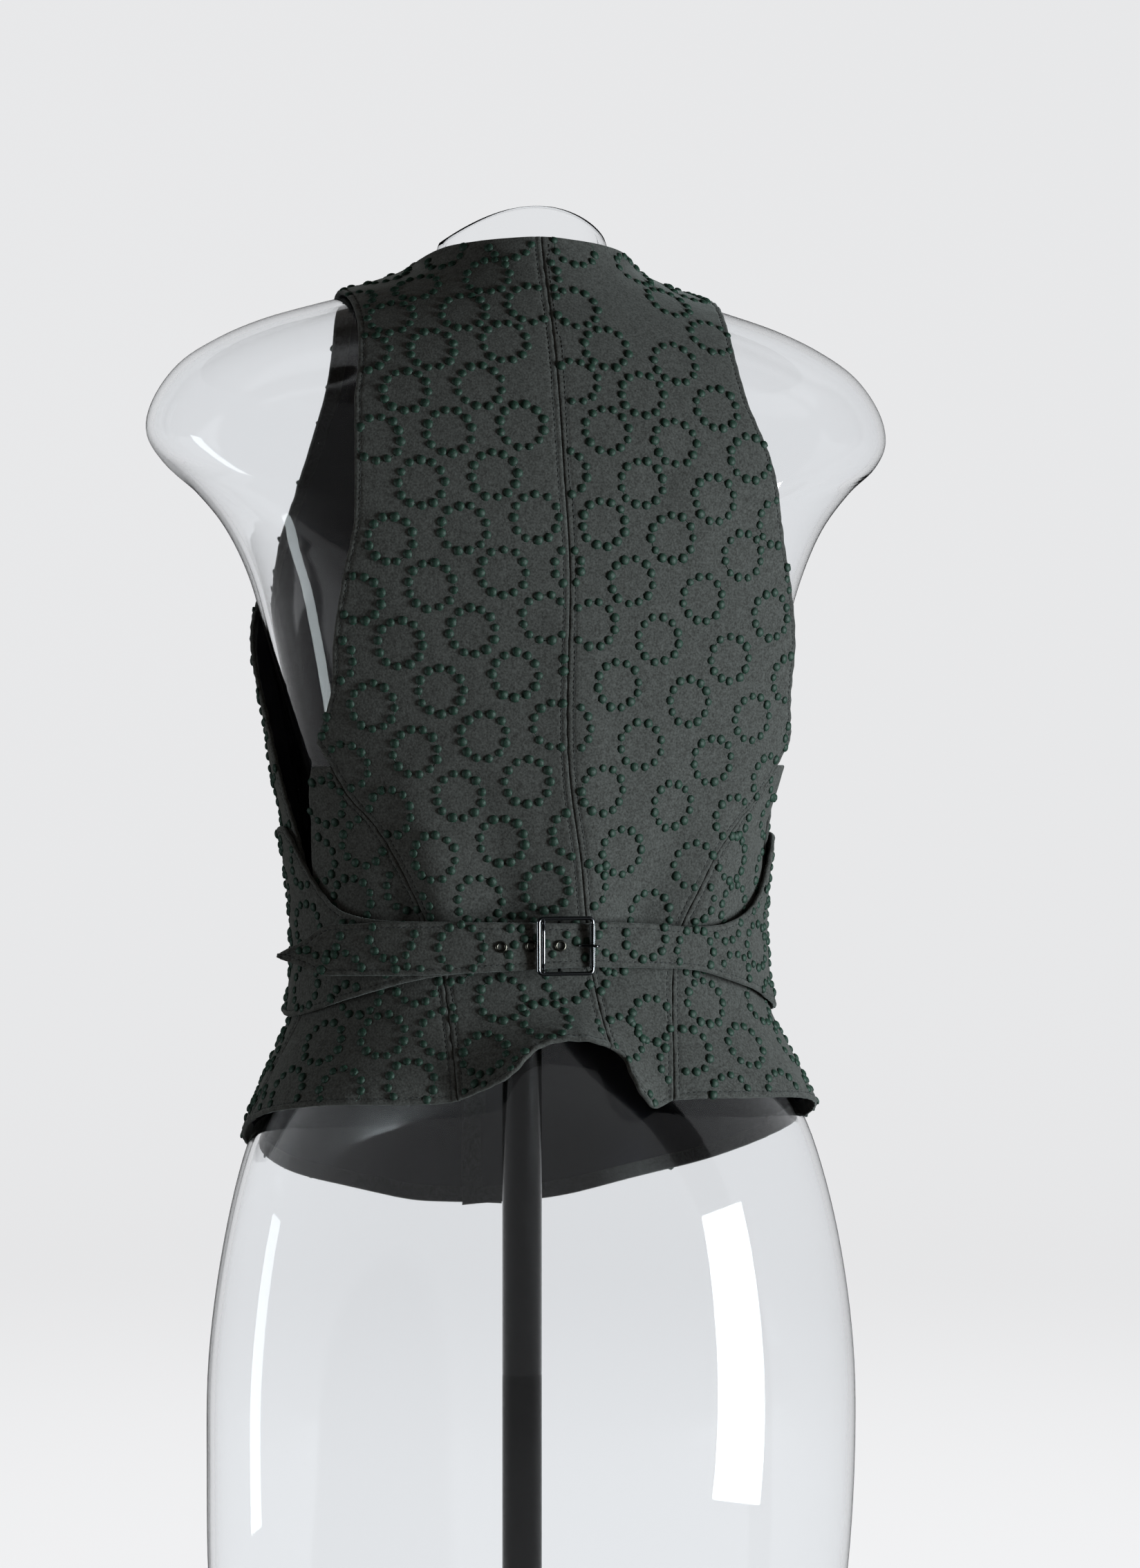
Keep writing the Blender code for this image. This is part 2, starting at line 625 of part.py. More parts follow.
def turned(name, profile, place, way, sides, material, collection):
    """A ring turned round an axis at a place, from a closed profile of radius and height."""
    mesh = bmesh.new()
    axis = Vector(way).normalized()
    turn = Vector((0, 0, 1)).rotation_difference(axis).to_matrix().to_4x4()
    turn.translation = Vector(place)
    rings = []
    for k in range(sides):
        angle = 2 * math.pi * k / sides
        rings.append([mesh.verts.new(turn @ Vector((r * math.cos(angle), r * math.sin(angle), h)))
                      for r, h in profile])
    for k in range(sides):
        here, after = rings[k], rings[(k + 1) % sides]
        for i in range(len(profile)):
            j = (i + 1) % len(profile)
            mesh.faces.new((here[i], here[j], after[j], after[i]))
    bmesh.ops.recalc_face_normals(mesh, faces=mesh.faces)
    return mesh_object(name, mesh, material, collection)


def cut_holes(strap, holes, cutters):
    """Round holes through a strap, each from its place, the way out and its radius."""
    for number, (place, way, radius) in enumerate(holes, 1):
        cutter = cylinder(f"hole_cutter_{number}", radius, place - way * 0.006, place + way * 0.006,
                          strap.data.materials[0], cutters, sides=14)
        cutter.hide_render = True
        cutter.display_type = "WIRE"
        hole = strap.modifiers.new(f"hole_{number}", "BOOLEAN")
        hole.operation = "DIFFERENCE"
        hole.object = cutter


def build_buckle(body, metal, collection):
    """The frame, its bars and its coil; gives back the places over its plane and the way out."""
    outside = BUCKLE_OUT - STRAP_OUT
    left, _ = belt_place(BELT_RIGHT, body, BUCKLE_LEFT_X, outside)
    right, _ = belt_place(BELT_RIGHT, body, BUCKLE_RIGHT_X, outside)
    across = left - right
    across.z = 0
    length = across.length
    across.normalize()
    way = Vector((-across.y, across.x, 0))
    up = Vector((0, 0, 1))
    origin = Vector((right.x, right.y, BUCKLE_Z))

    def spot(x_share, height, out=0.0):
        return origin + across * (length * x_share) + up * height + way * out

    corner = 0.0022
    frame = []
    for x_side, z_side in ((1, 1), (0, 1), (0, -1), (1, -1)):
        for step in range(4):
            turn = math.pi / 2 * (step / 3)
            first = {(1, 1): 0, (0, 1): 90, (0, -1): 180, (1, -1): 270}[(x_side, z_side)]
            angle = math.radians(first) + turn
            centre_x = length - corner if x_side else corner
            point = (origin + across * (centre_x + corner * math.cos(angle))
                     + up * (z_side * (BUCKLE_HALF_HEIGHT - corner) + corner * math.sin(angle)))
            frame.append(point)
    wire("buckle_frame", frame, WIRE_RADIUS, True, metal, collection)
    keeper_share = (KEEPER_X - BUCKLE_RIGHT_X) / (BUCKLE_LEFT_X - BUCKLE_RIGHT_X)
    keeper_end = BUCKLE_HALF_HEIGHT - WIRE_RADIUS - SEAM_GAP
    wire("buckle_keeper_bar", [spot(keeper_share, -keeper_end), spot(keeper_share, keeper_end)],
         WIRE_RADIUS * 0.9, False, metal, collection)
    pivot_share = (PIVOT_X - BUCKLE_RIGHT_X) / (BUCKLE_LEFT_X - BUCKLE_RIGHT_X)
    low = PIVOT_OUT - BUCKLE_OUT
    high = -WIRE_RADIUS - PIVOT_RADIUS - SEAM_GAP
    bend = BUCKLE_HALF_HEIGHT - 0.0005
    wire("buckle_pivot_bar", [spot(pivot_share, -bend, high), spot(pivot_share, -bend + 0.0004, low),
                              spot(pivot_share, bend - 0.0004, low), spot(pivot_share, bend, high)],
         PIVOT_RADIUS, False, metal, collection)
    grooves = []
    for k in range(COIL_TURNS * 2 + 1):
        height = COIL_HALF_LENGTH * (1 - k / COIL_TURNS)
        grooves.append((COIL_RADIUS if k % 2 else COIL_RADIUS - 0.0004, height))
    profile = grooves + [(COIL_BORE, -COIL_HALF_LENGTH), (COIL_BORE, COIL_HALF_LENGTH)]
    turned("buckle_coil", profile, origin, up, 14, metal, collection)
    return spot, way


def build_eyelets(body, brass, collection, cutters, strap):
    prong_place, prong_way = belt_place(BELT_RIGHT, body, PRONG_HOLE_X)
    holes = [(prong_place, prong_way, PRONG_HOLE)]
    for k in range(EYELET_COUNT):
        x = FIRST_EYELET_X + k * EYELET_PITCH
        place, way = belt_place(BELT_RIGHT, body, x)
        holes.append((place, way, STRAP_HOLE))
        top = CLOTH + SEAM_GAP
        profile = ((EYELET_FLANGE, top + 0.0002), (EYELET_FLANGE - 0.0003, top + 0.0007),
                   (EYELET_BORE + 0.0003, top + 0.0007), (EYELET_BORE, top + 0.0004), (EYELET_BORE, 0.0004),
                   (EYELET_BARREL, 0.0004), (EYELET_BARREL, top))
        turned(f"eyelet_{k + 1}", profile + ((EYELET_FLANGE, top),), place, way, 12, brass, collection)
    cut_holes(strap, holes, cutters)
    return prong_place + prong_way * (CLOTH / 2)


def build_prong(spot, hole, way, metal, collection):
    share = (PIVOT_X - 0.0022 - BUCKLE_RIGHT_X) / (BUCKLE_LEFT_X - BUCKLE_RIGHT_X)
    start = spot(share, 0, PIVOT_OUT - BUCKLE_OUT)
    over = spot(0, 0, COIL_RADIUS + PRONG_RADIUS + SEAM_GAP)
    tip = spot(-0.10, 0, COIL_RADIUS + PRONG_RADIUS + SEAM_GAP - 0.0006)
    under = hole - way * 0.0024
    above = hole + way * 0.0030
    points = smooth_table((start, under, above, over, tip), 13)
    wire("buckle_prong", [Vector(p) for p in points], PRONG_RADIUS, False, metal, collection)


def build_buttons(front, horn, collection):
    """Buttons on the front that lies on top, each just clear of the highest cloth under it."""
    cloth = BVHTree.FromObject(front, bpy.context.evaluated_depsgraph_get())
    for k in range(BUTTON_COUNT):
        start = Vector((0.0, -0.25, BUTTON_TOP_Z - k * BUTTON_PITCH))
        centre, way, _, _ = cloth.ray_cast(start, Vector((0, 1, 0)))
        turn = Vector((0, 0, 1)).rotation_difference(way).to_matrix()
        base = 0.0
        for step in range(12):
            angle = math.pi * step / 6
            rim = turn @ Vector((BUTTON_RADIUS * math.cos(angle), BUTTON_RADIUS * math.sin(angle), 0.02))
            under, _, _, _ = cloth.ray_cast(centre + rim, -way)
            if under is not None:
                base = max(base, (under - centre).dot(way))
        turn = turn.to_4x4()
        turn.translation = centre + way * (base + SEAM_GAP + BUTTON_HEIGHT / 2)
        mesh = bmesh.new()
        bmesh.ops.create_cone(mesh, cap_ends=True, segments=20, radius1=BUTTON_RADIUS * 0.94,
                              radius2=BUTTON_RADIUS, depth=BUTTON_HEIGHT, matrix=turn)
        mesh_object(f"button_{k + 1}", mesh, horn, collection)


def build_form(clear, collection):
    """The form's shell, a back and a front half that meet at its sides."""
    table = smooth_table(RINGS, FORM_RINGS)
    outer = np.array([ring_points(row, FORM_SIDES) for row in table])
    around = np.roll(outer, -1, axis=1) - np.roll(outer, 1, axis=1)
    ways = np.cross(around, np.gradient(outer, axis=0))
    ways /= np.linalg.norm(ways, axis=2, keepdims=True)
    inner = outer - ways * FORM_WALL
    half = FORM_SIDES // 2
    for name, first, side in (("back", 0, 1), ("front", half, -1)):
        columns = [(first + k) % FORM_SIDES for k in range(half + 1)]
        skins = []
        for skin in (inner, outer):
            skin = skin[:, columns].copy()
            skin[:, (0, -1), 1] += side * SEAM_GAP / 2
            skins.append(skin)
        wall_mesh(f"dress_form_{name}", *skins, clear, collection)


def build_stand(dark, collection):
    cylinder("form_pole", POLE_RADIUS, (0, 0, BASE_HEIGHT + SEAM_GAP), (0, 0, POLE_TOP), dark, collection, 20)
    cylinder("form_base", BASE_RADIUS, (0, 0, 0), (0, 0, BASE_HEIGHT), dark, collection, 48)
    bore = POLE_RADIUS + SEAM_GAP
    top = FORM_FLOOR - SEAM_GAP
    low = top - COLLAR_HEIGHT
    profile = ((COLLAR_RADIUS, top), (COLLAR_RADIUS, top - 0.004), (COLLAR_RADIUS - 0.009, top - 0.008),
               (COLLAR_RADIUS - 0.009, low), (bore, low), (bore, top))
    turned("form_collar", profile, (0, 0, 0), (0, 0, 1), 28, dark, collection)


def main():
    for thing in list(bpy.data.objects):
        bpy.data.objects.remove(thing)
    collection = bpy.data.collections.new(GARMENT)
    cutters = bpy.data.collections.new("cutters")
    for group in (collection, cutters):
        bpy.context.scene.collection.children.link(group)
    wool = make_material("charcoal felted wool", (0.040, 0.043, 0.042), 0.92)
    metal = make_material("gunmetal", (0.16, 0.16, 0.17), 0.32, 1.0)
    brass = make_material("dark antique brass", (0.11, 0.10, 0.085), 0.38, 1.0)
    horn = make_material("dark horn button", (0.030, 0.032, 0.032), 0.35)
    clear = make_material("clear plastic", (0.90, 0.92, 0.93), 0.05)
    dark = make_material("black enamel", (0.012, 0.012, 0.013), 0.28)
    body = Body()
    build_back(body, wool, collection)
    upper_front = build_front(body, wool, collection)
    build_belt("belt_left", BELT_LEFT, body, wool, collection)
    strap = build_belt("belt_right", BELT_RIGHT, body, wool, collection)
    spot, way = build_buckle(body, metal, collection)
    hole = build_eyelets(body, brass, collection, cutters, strap)
    build_prong(spot, hole, way, metal, collection)
    build_buttons(upper_front, horn, collection)
    build_form(clear, collection)
    build_stand(dark, collection)


main()
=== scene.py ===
"""Looks of the felted-wool waistcoat on its clear form: finer cloth, knots, stitches, metal and a studio.

Metres, +Z up, in the part's own frame. The wearer faces -Y, so the photo's camera stands on the +Y side.
"""
import json
import math
import random

import bmesh
import bpy
import numpy as np
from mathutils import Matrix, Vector, noise
from mathutils.bvhtree import BVHTree

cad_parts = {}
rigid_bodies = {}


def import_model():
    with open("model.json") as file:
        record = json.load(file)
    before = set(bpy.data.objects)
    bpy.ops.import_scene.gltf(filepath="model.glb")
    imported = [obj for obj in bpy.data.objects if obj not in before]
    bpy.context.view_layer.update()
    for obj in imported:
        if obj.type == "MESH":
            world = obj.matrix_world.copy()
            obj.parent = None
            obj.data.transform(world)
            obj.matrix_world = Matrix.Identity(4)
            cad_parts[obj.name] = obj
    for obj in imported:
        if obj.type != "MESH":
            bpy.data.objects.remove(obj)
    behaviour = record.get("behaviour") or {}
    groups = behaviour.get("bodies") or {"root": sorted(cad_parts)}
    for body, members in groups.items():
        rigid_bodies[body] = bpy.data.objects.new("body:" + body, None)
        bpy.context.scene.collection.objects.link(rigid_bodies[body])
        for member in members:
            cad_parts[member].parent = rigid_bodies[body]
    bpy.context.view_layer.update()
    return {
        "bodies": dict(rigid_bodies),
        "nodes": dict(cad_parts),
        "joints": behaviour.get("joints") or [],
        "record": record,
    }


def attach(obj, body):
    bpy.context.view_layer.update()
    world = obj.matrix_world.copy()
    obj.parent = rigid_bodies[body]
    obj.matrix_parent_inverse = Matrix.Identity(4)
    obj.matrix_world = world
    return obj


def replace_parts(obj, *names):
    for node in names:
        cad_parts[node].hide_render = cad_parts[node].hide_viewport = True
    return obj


# Driving sizes
CLOTH = 0.0026
SEAM_GAP = 0.0003
FORM_WALL = 0.004
BASE_RADIUS = 0.150
BASE_HEIGHT = 0.012
POLE_RADIUS = 0.011
POLE_TOP = 0.700
FORM_FLOOR = 0.150
COLLAR_RADIUS = 0.026
COLLAR_HEIGHT = 0.030

# The form from its floor up to the neck's rim. Every row is a ring: its side point, the heights and depths of
# its back and front middle points, and how far the cloth's inner face stands off at the side, back and front.
# Columns: side_x, side_y, side_z, back_y, back_z, front_y, front_z, off_side, off_back, off_front.
RINGS = (
    (0.02, 0.0, 0.15, 0.02, 0.15, -0.02, 0.15, 0.01, 0.01, 0.01),
    (0.09, 0.01, 0.15, 0.065, 0.15, -0.05, 0.15, 0.01, 0.01, 0.01),
    (0.15, 0.016, 0.153, 0.1, 0.153, -0.08, 0.153, 0.01, 0.01, 0.01),
    (0.171, 0.022, 0.17, 0.116, 0.17, -0.09, 0.17, 0.01, 0.01, 0.01),
    (0.178, 0.028, 0.224, 0.128, 0.224, -0.092, 0.224, 0.01, 0.01, 0.01),
    (0.18, 0.035, 0.29, 0.137, 0.29, -0.092, 0.29, 0.01, 0.01, 0.01),
    (0.179, 0.035, 0.35, 0.138, 0.35, -0.094, 0.35, 0.01, 0.01, 0.01),
    (0.171, 0.034, 0.41, 0.131, 0.41, -0.097, 0.41, 0.002, 0.01, 0.006),
    (0.158, 0.031, 0.462, 0.119, 0.462, -0.097, 0.462, 0.002, 0.018, 0.008),
    (0.141, 0.031, 0.5, 0.106, 0.5, -0.093, 0.5, 0.005, 0.016, 0.009),
    (0.127, 0.028, 0.537, 0.096, 0.537, -0.089, 0.537, 0.003, 0.01, 0.007),
    (0.1238, 0.024, 0.575, 0.09, 0.575, -0.087, 0.575, 0.0026, 0.0078, 0.006),
    (0.125, 0.02, 0.62, 0.092, 0.62, -0.09, 0.62, 0.005, 0.011, 0.007),
    (0.129, 0.014, 0.66, 0.096, 0.66, -0.096, 0.66, 0.009, 0.011, 0.007),
    (0.137, 0.014, 0.703, 0.101, 0.693, -0.103, 0.693, 0.008, 0.008, 0.006),
    (0.146, 0.016, 0.745, 0.105, 0.722, -0.11, 0.722, 0.008, 0.005, 0.005),
    (0.155, 0.016, 0.776, 0.108, 0.745, -0.113, 0.742, 0.006, 0.003, 0.006),
    (0.168, 0.012, 0.803, 0.11, 0.768, -0.114, 0.76, 0.005, 0.0022, 0.006),
    (0.185, 0.008, 0.824, 0.11, 0.786, -0.113, 0.776, 0.005, 0.0022, 0.005),
    (0.201, 0.004, 0.838, 0.11, 0.802, -0.112, 0.79, 0.003, 0.0022, 0.003),
    (0.209, 0.0, 0.853, 0.109, 0.817, -0.11, 0.803, 0.003, 0.0022, 0.002),
    (0.205, 0.0, 0.871, 0.107, 0.832, -0.107, 0.816, 0.002, 0.0022, 0.002),
    (0.191, 0.0, 0.89, 0.104, 0.847, -0.102, 0.83, 0.002, 0.002, 0.002),
    (0.17, 0.0, 0.904, 0.099, 0.864, -0.095, 0.846, 0.0014, 0.002, 0.002),
    (0.145, 0.0, 0.915, 0.092, 0.882, -0.087, 0.863, 0.0012, 0.002, 0.002),
    (0.115, 0.0, 0.924, 0.083, 0.901, -0.078, 0.881, 0.0012, 0.002, 0.002),
    (0.085, 0.0, 0.932, 0.072, 0.92, -0.068, 0.899, 0.0016, 0.002, 0.002),
    (0.062, 0.0, 0.94, 0.06, 0.939, -0.058, 0.915, 0.0025, 0.003, 0.002),
    (0.051, 0.0, 0.949, 0.051, 0.956, -0.05, 0.929, 0.006, 0.004, 0.003),
    (0.0465, 0.0, 0.96, 0.0465, 0.975, -0.0465, 0.944, 0.006, 0.005, 0.003),
)
FIRST_CLOTH_RING = 6


def smooth_table(rows, steps):
    """Read a table of rows at evenly spaced steps along a Catmull-Rom curve through them."""
    rows = np.asarray(rows, float)
    padded = np.vstack((2 * rows[0] - rows[1], rows, 2 * rows[-1] - rows[-2]))
    out = []
    for place in np.linspace(0, len(rows) - 1, steps):
        k = min(int(place), len(rows) - 2)
        t = place - k
        before, start, end, after = padded[k:k + 4]
        out.append(0.5 * (2 * start + (end - before) * t
                          + (2 * before - 5 * start + 4 * end - after) * t * t
                          + (3 * start - before - 3 * end + after) * t ** 3))
    return np.array(out)


def clamp(number):
    """A number held between 0 and 1."""
    return max(0.0, min(1.0, number))


def ring_points(row, sides, cloth=False):
    """Points of one ring, from the wearer's left side round the back."""
    side_x, side_y, side_z, back_y, back_z, front_y, front_z, off_side, off_back, off_front = row
    if cloth:
        side_x += off_side
        back_y += off_back
        front_y -= off_front
        side_z += off_side * clamp((side_z - 0.86) / 0.05)
    points = []
    for k in range(sides):
        angle = 2 * math.pi * k / sides
        c, s = math.cos(angle), math.sin(angle)
        depth, height = (back_y - side_y, back_z) if s >= 0 else (side_y - front_y, front_z)
        points.append((side_x * c, side_y + depth * s, side_z + (height - side_z) * s * s))
    return points


def grid_faces(rows, columns, closed):
    """Quads over a grid of points, row by row; closed joins the last column to the first."""
    faces = []
    for i in range(rows - 1):
        for j in range(columns if closed else columns - 1):
            k = (j + 1) % columns
            faces.append((i * columns + j, i * columns + k, (i + 1) * columns + k, (i + 1) * columns + j))
    return faces


def shifted(faces, start):
    """Faces whose points begin at a start number."""
    return [tuple(start + k for k in face) for face in faces]


def ring_surface(first_ring, steps, sides, cloth):
    """The rings as points and quads, finely sampled, for the form or the cloth's inner face."""
    table = smooth_table(RINGS[first_ring:], steps)
    points = [p for row in table for p in ring_points(row, sides, cloth)]
    return points, grid_faces(steps, sides, True)


def point_normals(points, faces):
    """The way out at every point, summed over the quads round it and not yet of unit length."""
    normals = [Vector() for _ in points]
    for face in faces:
        a, b, c, d = (points[k] for k in face)
        normal = (c - a).cross(d - b).normalized()
        for k in face:
            normals[k] += normal
    return normals


class Body:
    """The cloth's inner surface, which gives the nearest point to a rough place and the way out there."""

    def __init__(self):
        self.points, self.faces = ring_surface(FIRST_CLOTH_RING, 190, 200, True)
        self.points = [Vector(p) for p in self.points]
        self.tree = BVHTree.FromPolygons(self.points, self.faces)
        self.normals = [n.normalized() for n in point_normals(self.points, self.faces)]

    def place(self, point):
        hit, _, index, _ = self.tree.find_nearest(Vector(point))
        way = Vector()
        for k in self.faces[index]:
            way += self.normals[k] / ((self.points[k] - hit).length_squared + 1e-8)
        return hit, way.normalized()


# Soft folds of the body's cloth: a line from (x0, z0) to (x1, z1) on the back or front (side 1 or -1), its
# half-width and its height out, negative for a hollow. Columns: side, x0, z0, x1, z1, half_width, height.
FOLDS = (
    (1, -0.006, 0.74, -0.012, 0.59, 0.016, 0.005), (1, 0.044, 0.655, 0.03, 0.59, 0.014, -0.0045),
    (1, 0.08, 0.66, 0.058, 0.585, 0.01, 0.0035), (1, 0.092, 0.625, 0.078, 0.588, 0.009, -0.004),
    (1, -0.076, 0.665, -0.046, 0.59, 0.016, -0.0055), (1, -0.118, 0.68, -0.082, 0.595, 0.013, 0.0035),
    (1, -0.05, 0.85, -0.078, 0.8, 0.01, 0.0016), (1, -0.034, 0.79, -0.062, 0.835, 0.009, -0.0012),
    (-1, 0.05, 0.69, 0.085, 0.6, 0.016, 0.004), (-1, -0.055, 0.7, -0.085, 0.6, 0.015, 0.0038),
    (-1, 0.08, 0.65, 0.11, 0.59, 0.011, -0.003), (-1, -0.084, 0.655, -0.112, 0.59, 0.011, -0.003),
)

# The peplum's waves: the angle round the body at the waist and at the hem (90 is the middle of the back), the
# half-widths on the sides nearer the wearer's left and right, and how far the crest stands out at the hem.
# Columns: waist_angle, hem_angle, half_left, half_right, out.
WAVES = (
    (92.5, 91.0, 19.0, 10.0, 0.052), (117.0, 114.0, 7.0, 9.0, -0.01), (63.0, 62.0, 11.0, 9.0, -0.009),
    (36.0, 33.0, 16.0, 14.0, 0.008), (148.0, 148.0, 13.0, 15.0, 0.008), (-38.0, -38.0, 14.0, 14.0, 0.007),
    (-142.0, -142.0, 14.0, 14.0, 0.007), (-90.0, -90.0, 20.0, 20.0, 0.004),
)
WAVE_TOP = 0.548
WAVE_LENGTH = 0.066


def bump(offset, half_left, half_right):
    half = half_left if offset < 0 else half_right
    return math.exp(-(offset / half) ** 2)


def fold_height(point):
    """How far the folds lift the cloth at a point."""
    x, y, z = point
    total = 0.0
    for side, x0, z0, x1, z1, half_width, height in FOLDS:
        if side * y < 0:
            continue
        run = Vector((x1 - x0, z1 - z0))
        reach = (x - x0) * run.x + (z - z0) * run.y
        share = clamp(reach / run.length_squared)
        gap = math.hypot(x - x0 - share * run.x, z - z0 - share * run.y)
        strength = 0.35 + 0.65 * share
        total += height * strength * math.exp(-(gap / half_width) ** 2)
    drop = (WAVE_TOP - z) / WAVE_LENGTH
    if drop > 0:
        swing = drop ** 1.6 if drop < 1 else 1 + 0.5 * (drop - 1)
        angle = math.degrees(math.atan2(y, x))
        for waist_angle, hem_angle, half_left, half_right, out in WAVES:
            centre = waist_angle + (hem_angle - waist_angle) * min(1.0, drop)
            offset = (angle - centre + 180) % 360 - 180
            total += out * swing * bump(offset, half_left, half_right)
    return total


# Borders of the panels on the wearer's left, mirrored for the right: rough places in x, y, z near the body.
NECK_SIDE = (0.059, 0.010, 0.946)
SHOULDER_EDGE = (0.104, 0.006, 0.928)
NECK_BACK = (
    (0.002, 0.06, 0.958), (0.02, 0.057, 0.957), (0.037, 0.046, 0.955), (0.05, 0.03, 0.952), NECK_SIDE,
)
ARMHOLE_BACK = (
    SHOULDER_EDGE, (0.101, 0.048, 0.908), (0.1015, 0.068, 0.885), (0.105, 0.078, 0.86), (0.11, 0.08, 0.829),
    (0.1125, 0.08, 0.8), (0.116, 0.074, 0.77), (0.1185, 0.069, 0.741), (0.12, 0.066, 0.711),
    (0.126, 0.058, 0.684),
)
ARMHOLE_BACK_LOW = (
    (0.126, 0.058, 0.684), (0.128, 0.052, 0.655), (0.128, 0.047, 0.622), (0.1235, 0.046, 0.59),
)
SIDE_SEAM = (
    (0.1235, 0.046, 0.59), (0.122, 0.044, 0.565), (0.13, 0.044, 0.54), (0.144, 0.042, 0.512),
    (0.154, 0.04, 0.478),
)
SIDE_SEAM_BACK = (
    (0.126, 0.058, 0.684), (0.11, 0.068, 0.655), (0.0985, 0.076, 0.64), (0.087, 0.082, 0.622),
    (0.079, 0.084, 0.607), (0.07, 0.086, 0.588), (0.0625, 0.09, 0.56), (0.06, 0.102, 0.525),
    (0.059, 0.116, 0.494),
)
CENTRE_BACK = (
    (0.002, 0.06, 0.958), (0.002, 0.085, 0.9), (0.002, 0.11, 0.83), (-0.001, 0.112, 0.77),
    (0.0, 0.109, 0.7), (-0.002, 0.106, 0.66), (-0.008, 0.102, 0.62), (-0.013, 0.098, 0.575),
    (-0.018, 0.104, 0.545), (-0.02, 0.112, 0.514),
)
# The back hem from the side-back seam to the centre seam, for the wearer's left and right
HEM_BACK_LEFT = (
    (-0.02, 0.114, 0.517), (0.002, 0.114, 0.519), (0.018, 0.115, 0.515), (0.034, 0.117, 0.5),
    (0.059, 0.116, 0.494),
)
HEM_BACK_RIGHT = (
    (-0.02, 0.114, 0.517), (-0.028, 0.114, 0.513), (-0.034, 0.116, 0.496), (-0.044, 0.117, 0.488),
    (-0.059, 0.116, 0.494),
)
HEM_SIDE = (
    (0.059, 0.116, 0.494), (0.095, 0.1, 0.489), (0.128, 0.075, 0.484), (0.154, 0.04, 0.478),
)
ARMHOLE_FRONT = (
    SHOULDER_EDGE, (0.1, -0.03, 0.916), (0.0985, -0.052, 0.902), (0.1, -0.072, 0.884),
    (0.104, -0.082, 0.862), (0.109, -0.088, 0.838), (0.116, -0.088, 0.815), (0.126, -0.08, 0.792),
    (0.137, -0.058, 0.77), (0.147, -0.03, 0.748), (0.149, 0.0, 0.718), (0.143, 0.018, 0.68),
    (0.135, 0.03, 0.645), (0.127, 0.04, 0.612), (0.1235, 0.046, 0.59),
)
NECK_FRONT = (
    NECK_SIDE, (0.06, -0.03, 0.927), (0.055, -0.066, 0.895), (0.044, -0.092, 0.86), (0.028, -0.106, 0.825),
    (0.008, -0.115, 0.79), (-0.01, -0.116, 0.765),
)
CENTRE_FRONT = (
    (-0.01, -0.116, 0.765), (-0.012, -0.11, 0.7), (-0.012, -0.1, 0.64), (-0.012, -0.094, 0.575),
    (-0.012, -0.104, 0.51), (-0.012, -0.108, 0.414),
)
HEM_FRONT = (
    (-0.012, -0.108, 0.414), (0.04, -0.106, 0.418), (0.085, -0.092, 0.429), (0.12, -0.066, 0.441),
    (0.14, -0.03, 0.454), (0.149, 0.006, 0.466), (0.154, 0.04, 0.478),
)
# The whole back hangs a little to the wearer's right below the shoulder blades: heights and how far.
LEAN = (
    (0.59, 0.0), (0.62, 0.0), (0.655, -0.004), (0.684, -0.011), (0.741, -0.01), (0.8, -0.008),
    (0.829, -0.004), (0.86, 0.002), (0.885, 0.0015), (0.915, 0.0),
)
# The back's sides stand off the body between the shoulder blades and the belt.
BACK_EDGE_LIFT = 0.012
BACK_EDGE_FROM = 0.050
BACK_EDGE_RUN = 0.085
BACK_LIFT_MIDDLE = 0.722
BACK_LIFT_HALF = 0.082
# The left front's lift over the right one, within this far of the middle and below this height, and how fast
# it fades
FRONT_OVERLAP = 0.0042
OVERLAP_WIDTH = 0.045
OVERLAP_TOP = 0.83
OVERLAP_FADE_X = 0.020
OVERLAP_FADE_Z = 0.03
FLAT_STRAP_HEIGHT = 0.036
# The belt's tabs and straps, from the front to the buckle or the tail: rough places of the top and bottom
# edges on the body, and how far the strap's inner face stands out over what it crosses.
# Columns: x, y, top_z, bottom_z, lift.
BELT_LEFT = (
    (0.112, -0.05, 0.628, 0.536, 0.0038), (0.126, -0.012, 0.634, 0.534, 0.0038),
    (0.132, 0.024, 0.638, 0.533, 0.0038), (0.129, 0.042, 0.62, 0.534, 0.004),
    (0.121, 0.055, 0.603, 0.537, 0.0044), (0.112, 0.066, 0.5925, 0.542, 0.0052),
    (0.096, 0.08, 0.588, 0.549, 0.0064), (0.074, 0.09, 0.5875, 0.5555, 0.008),
    (0.05, 0.096, 0.5875, 0.559, 0.0088), (0.025, 0.1, 0.5874, 0.5605, 0.0088),
    (0.0045, 0.101, 0.5872, 0.5612, 0.0086),
)
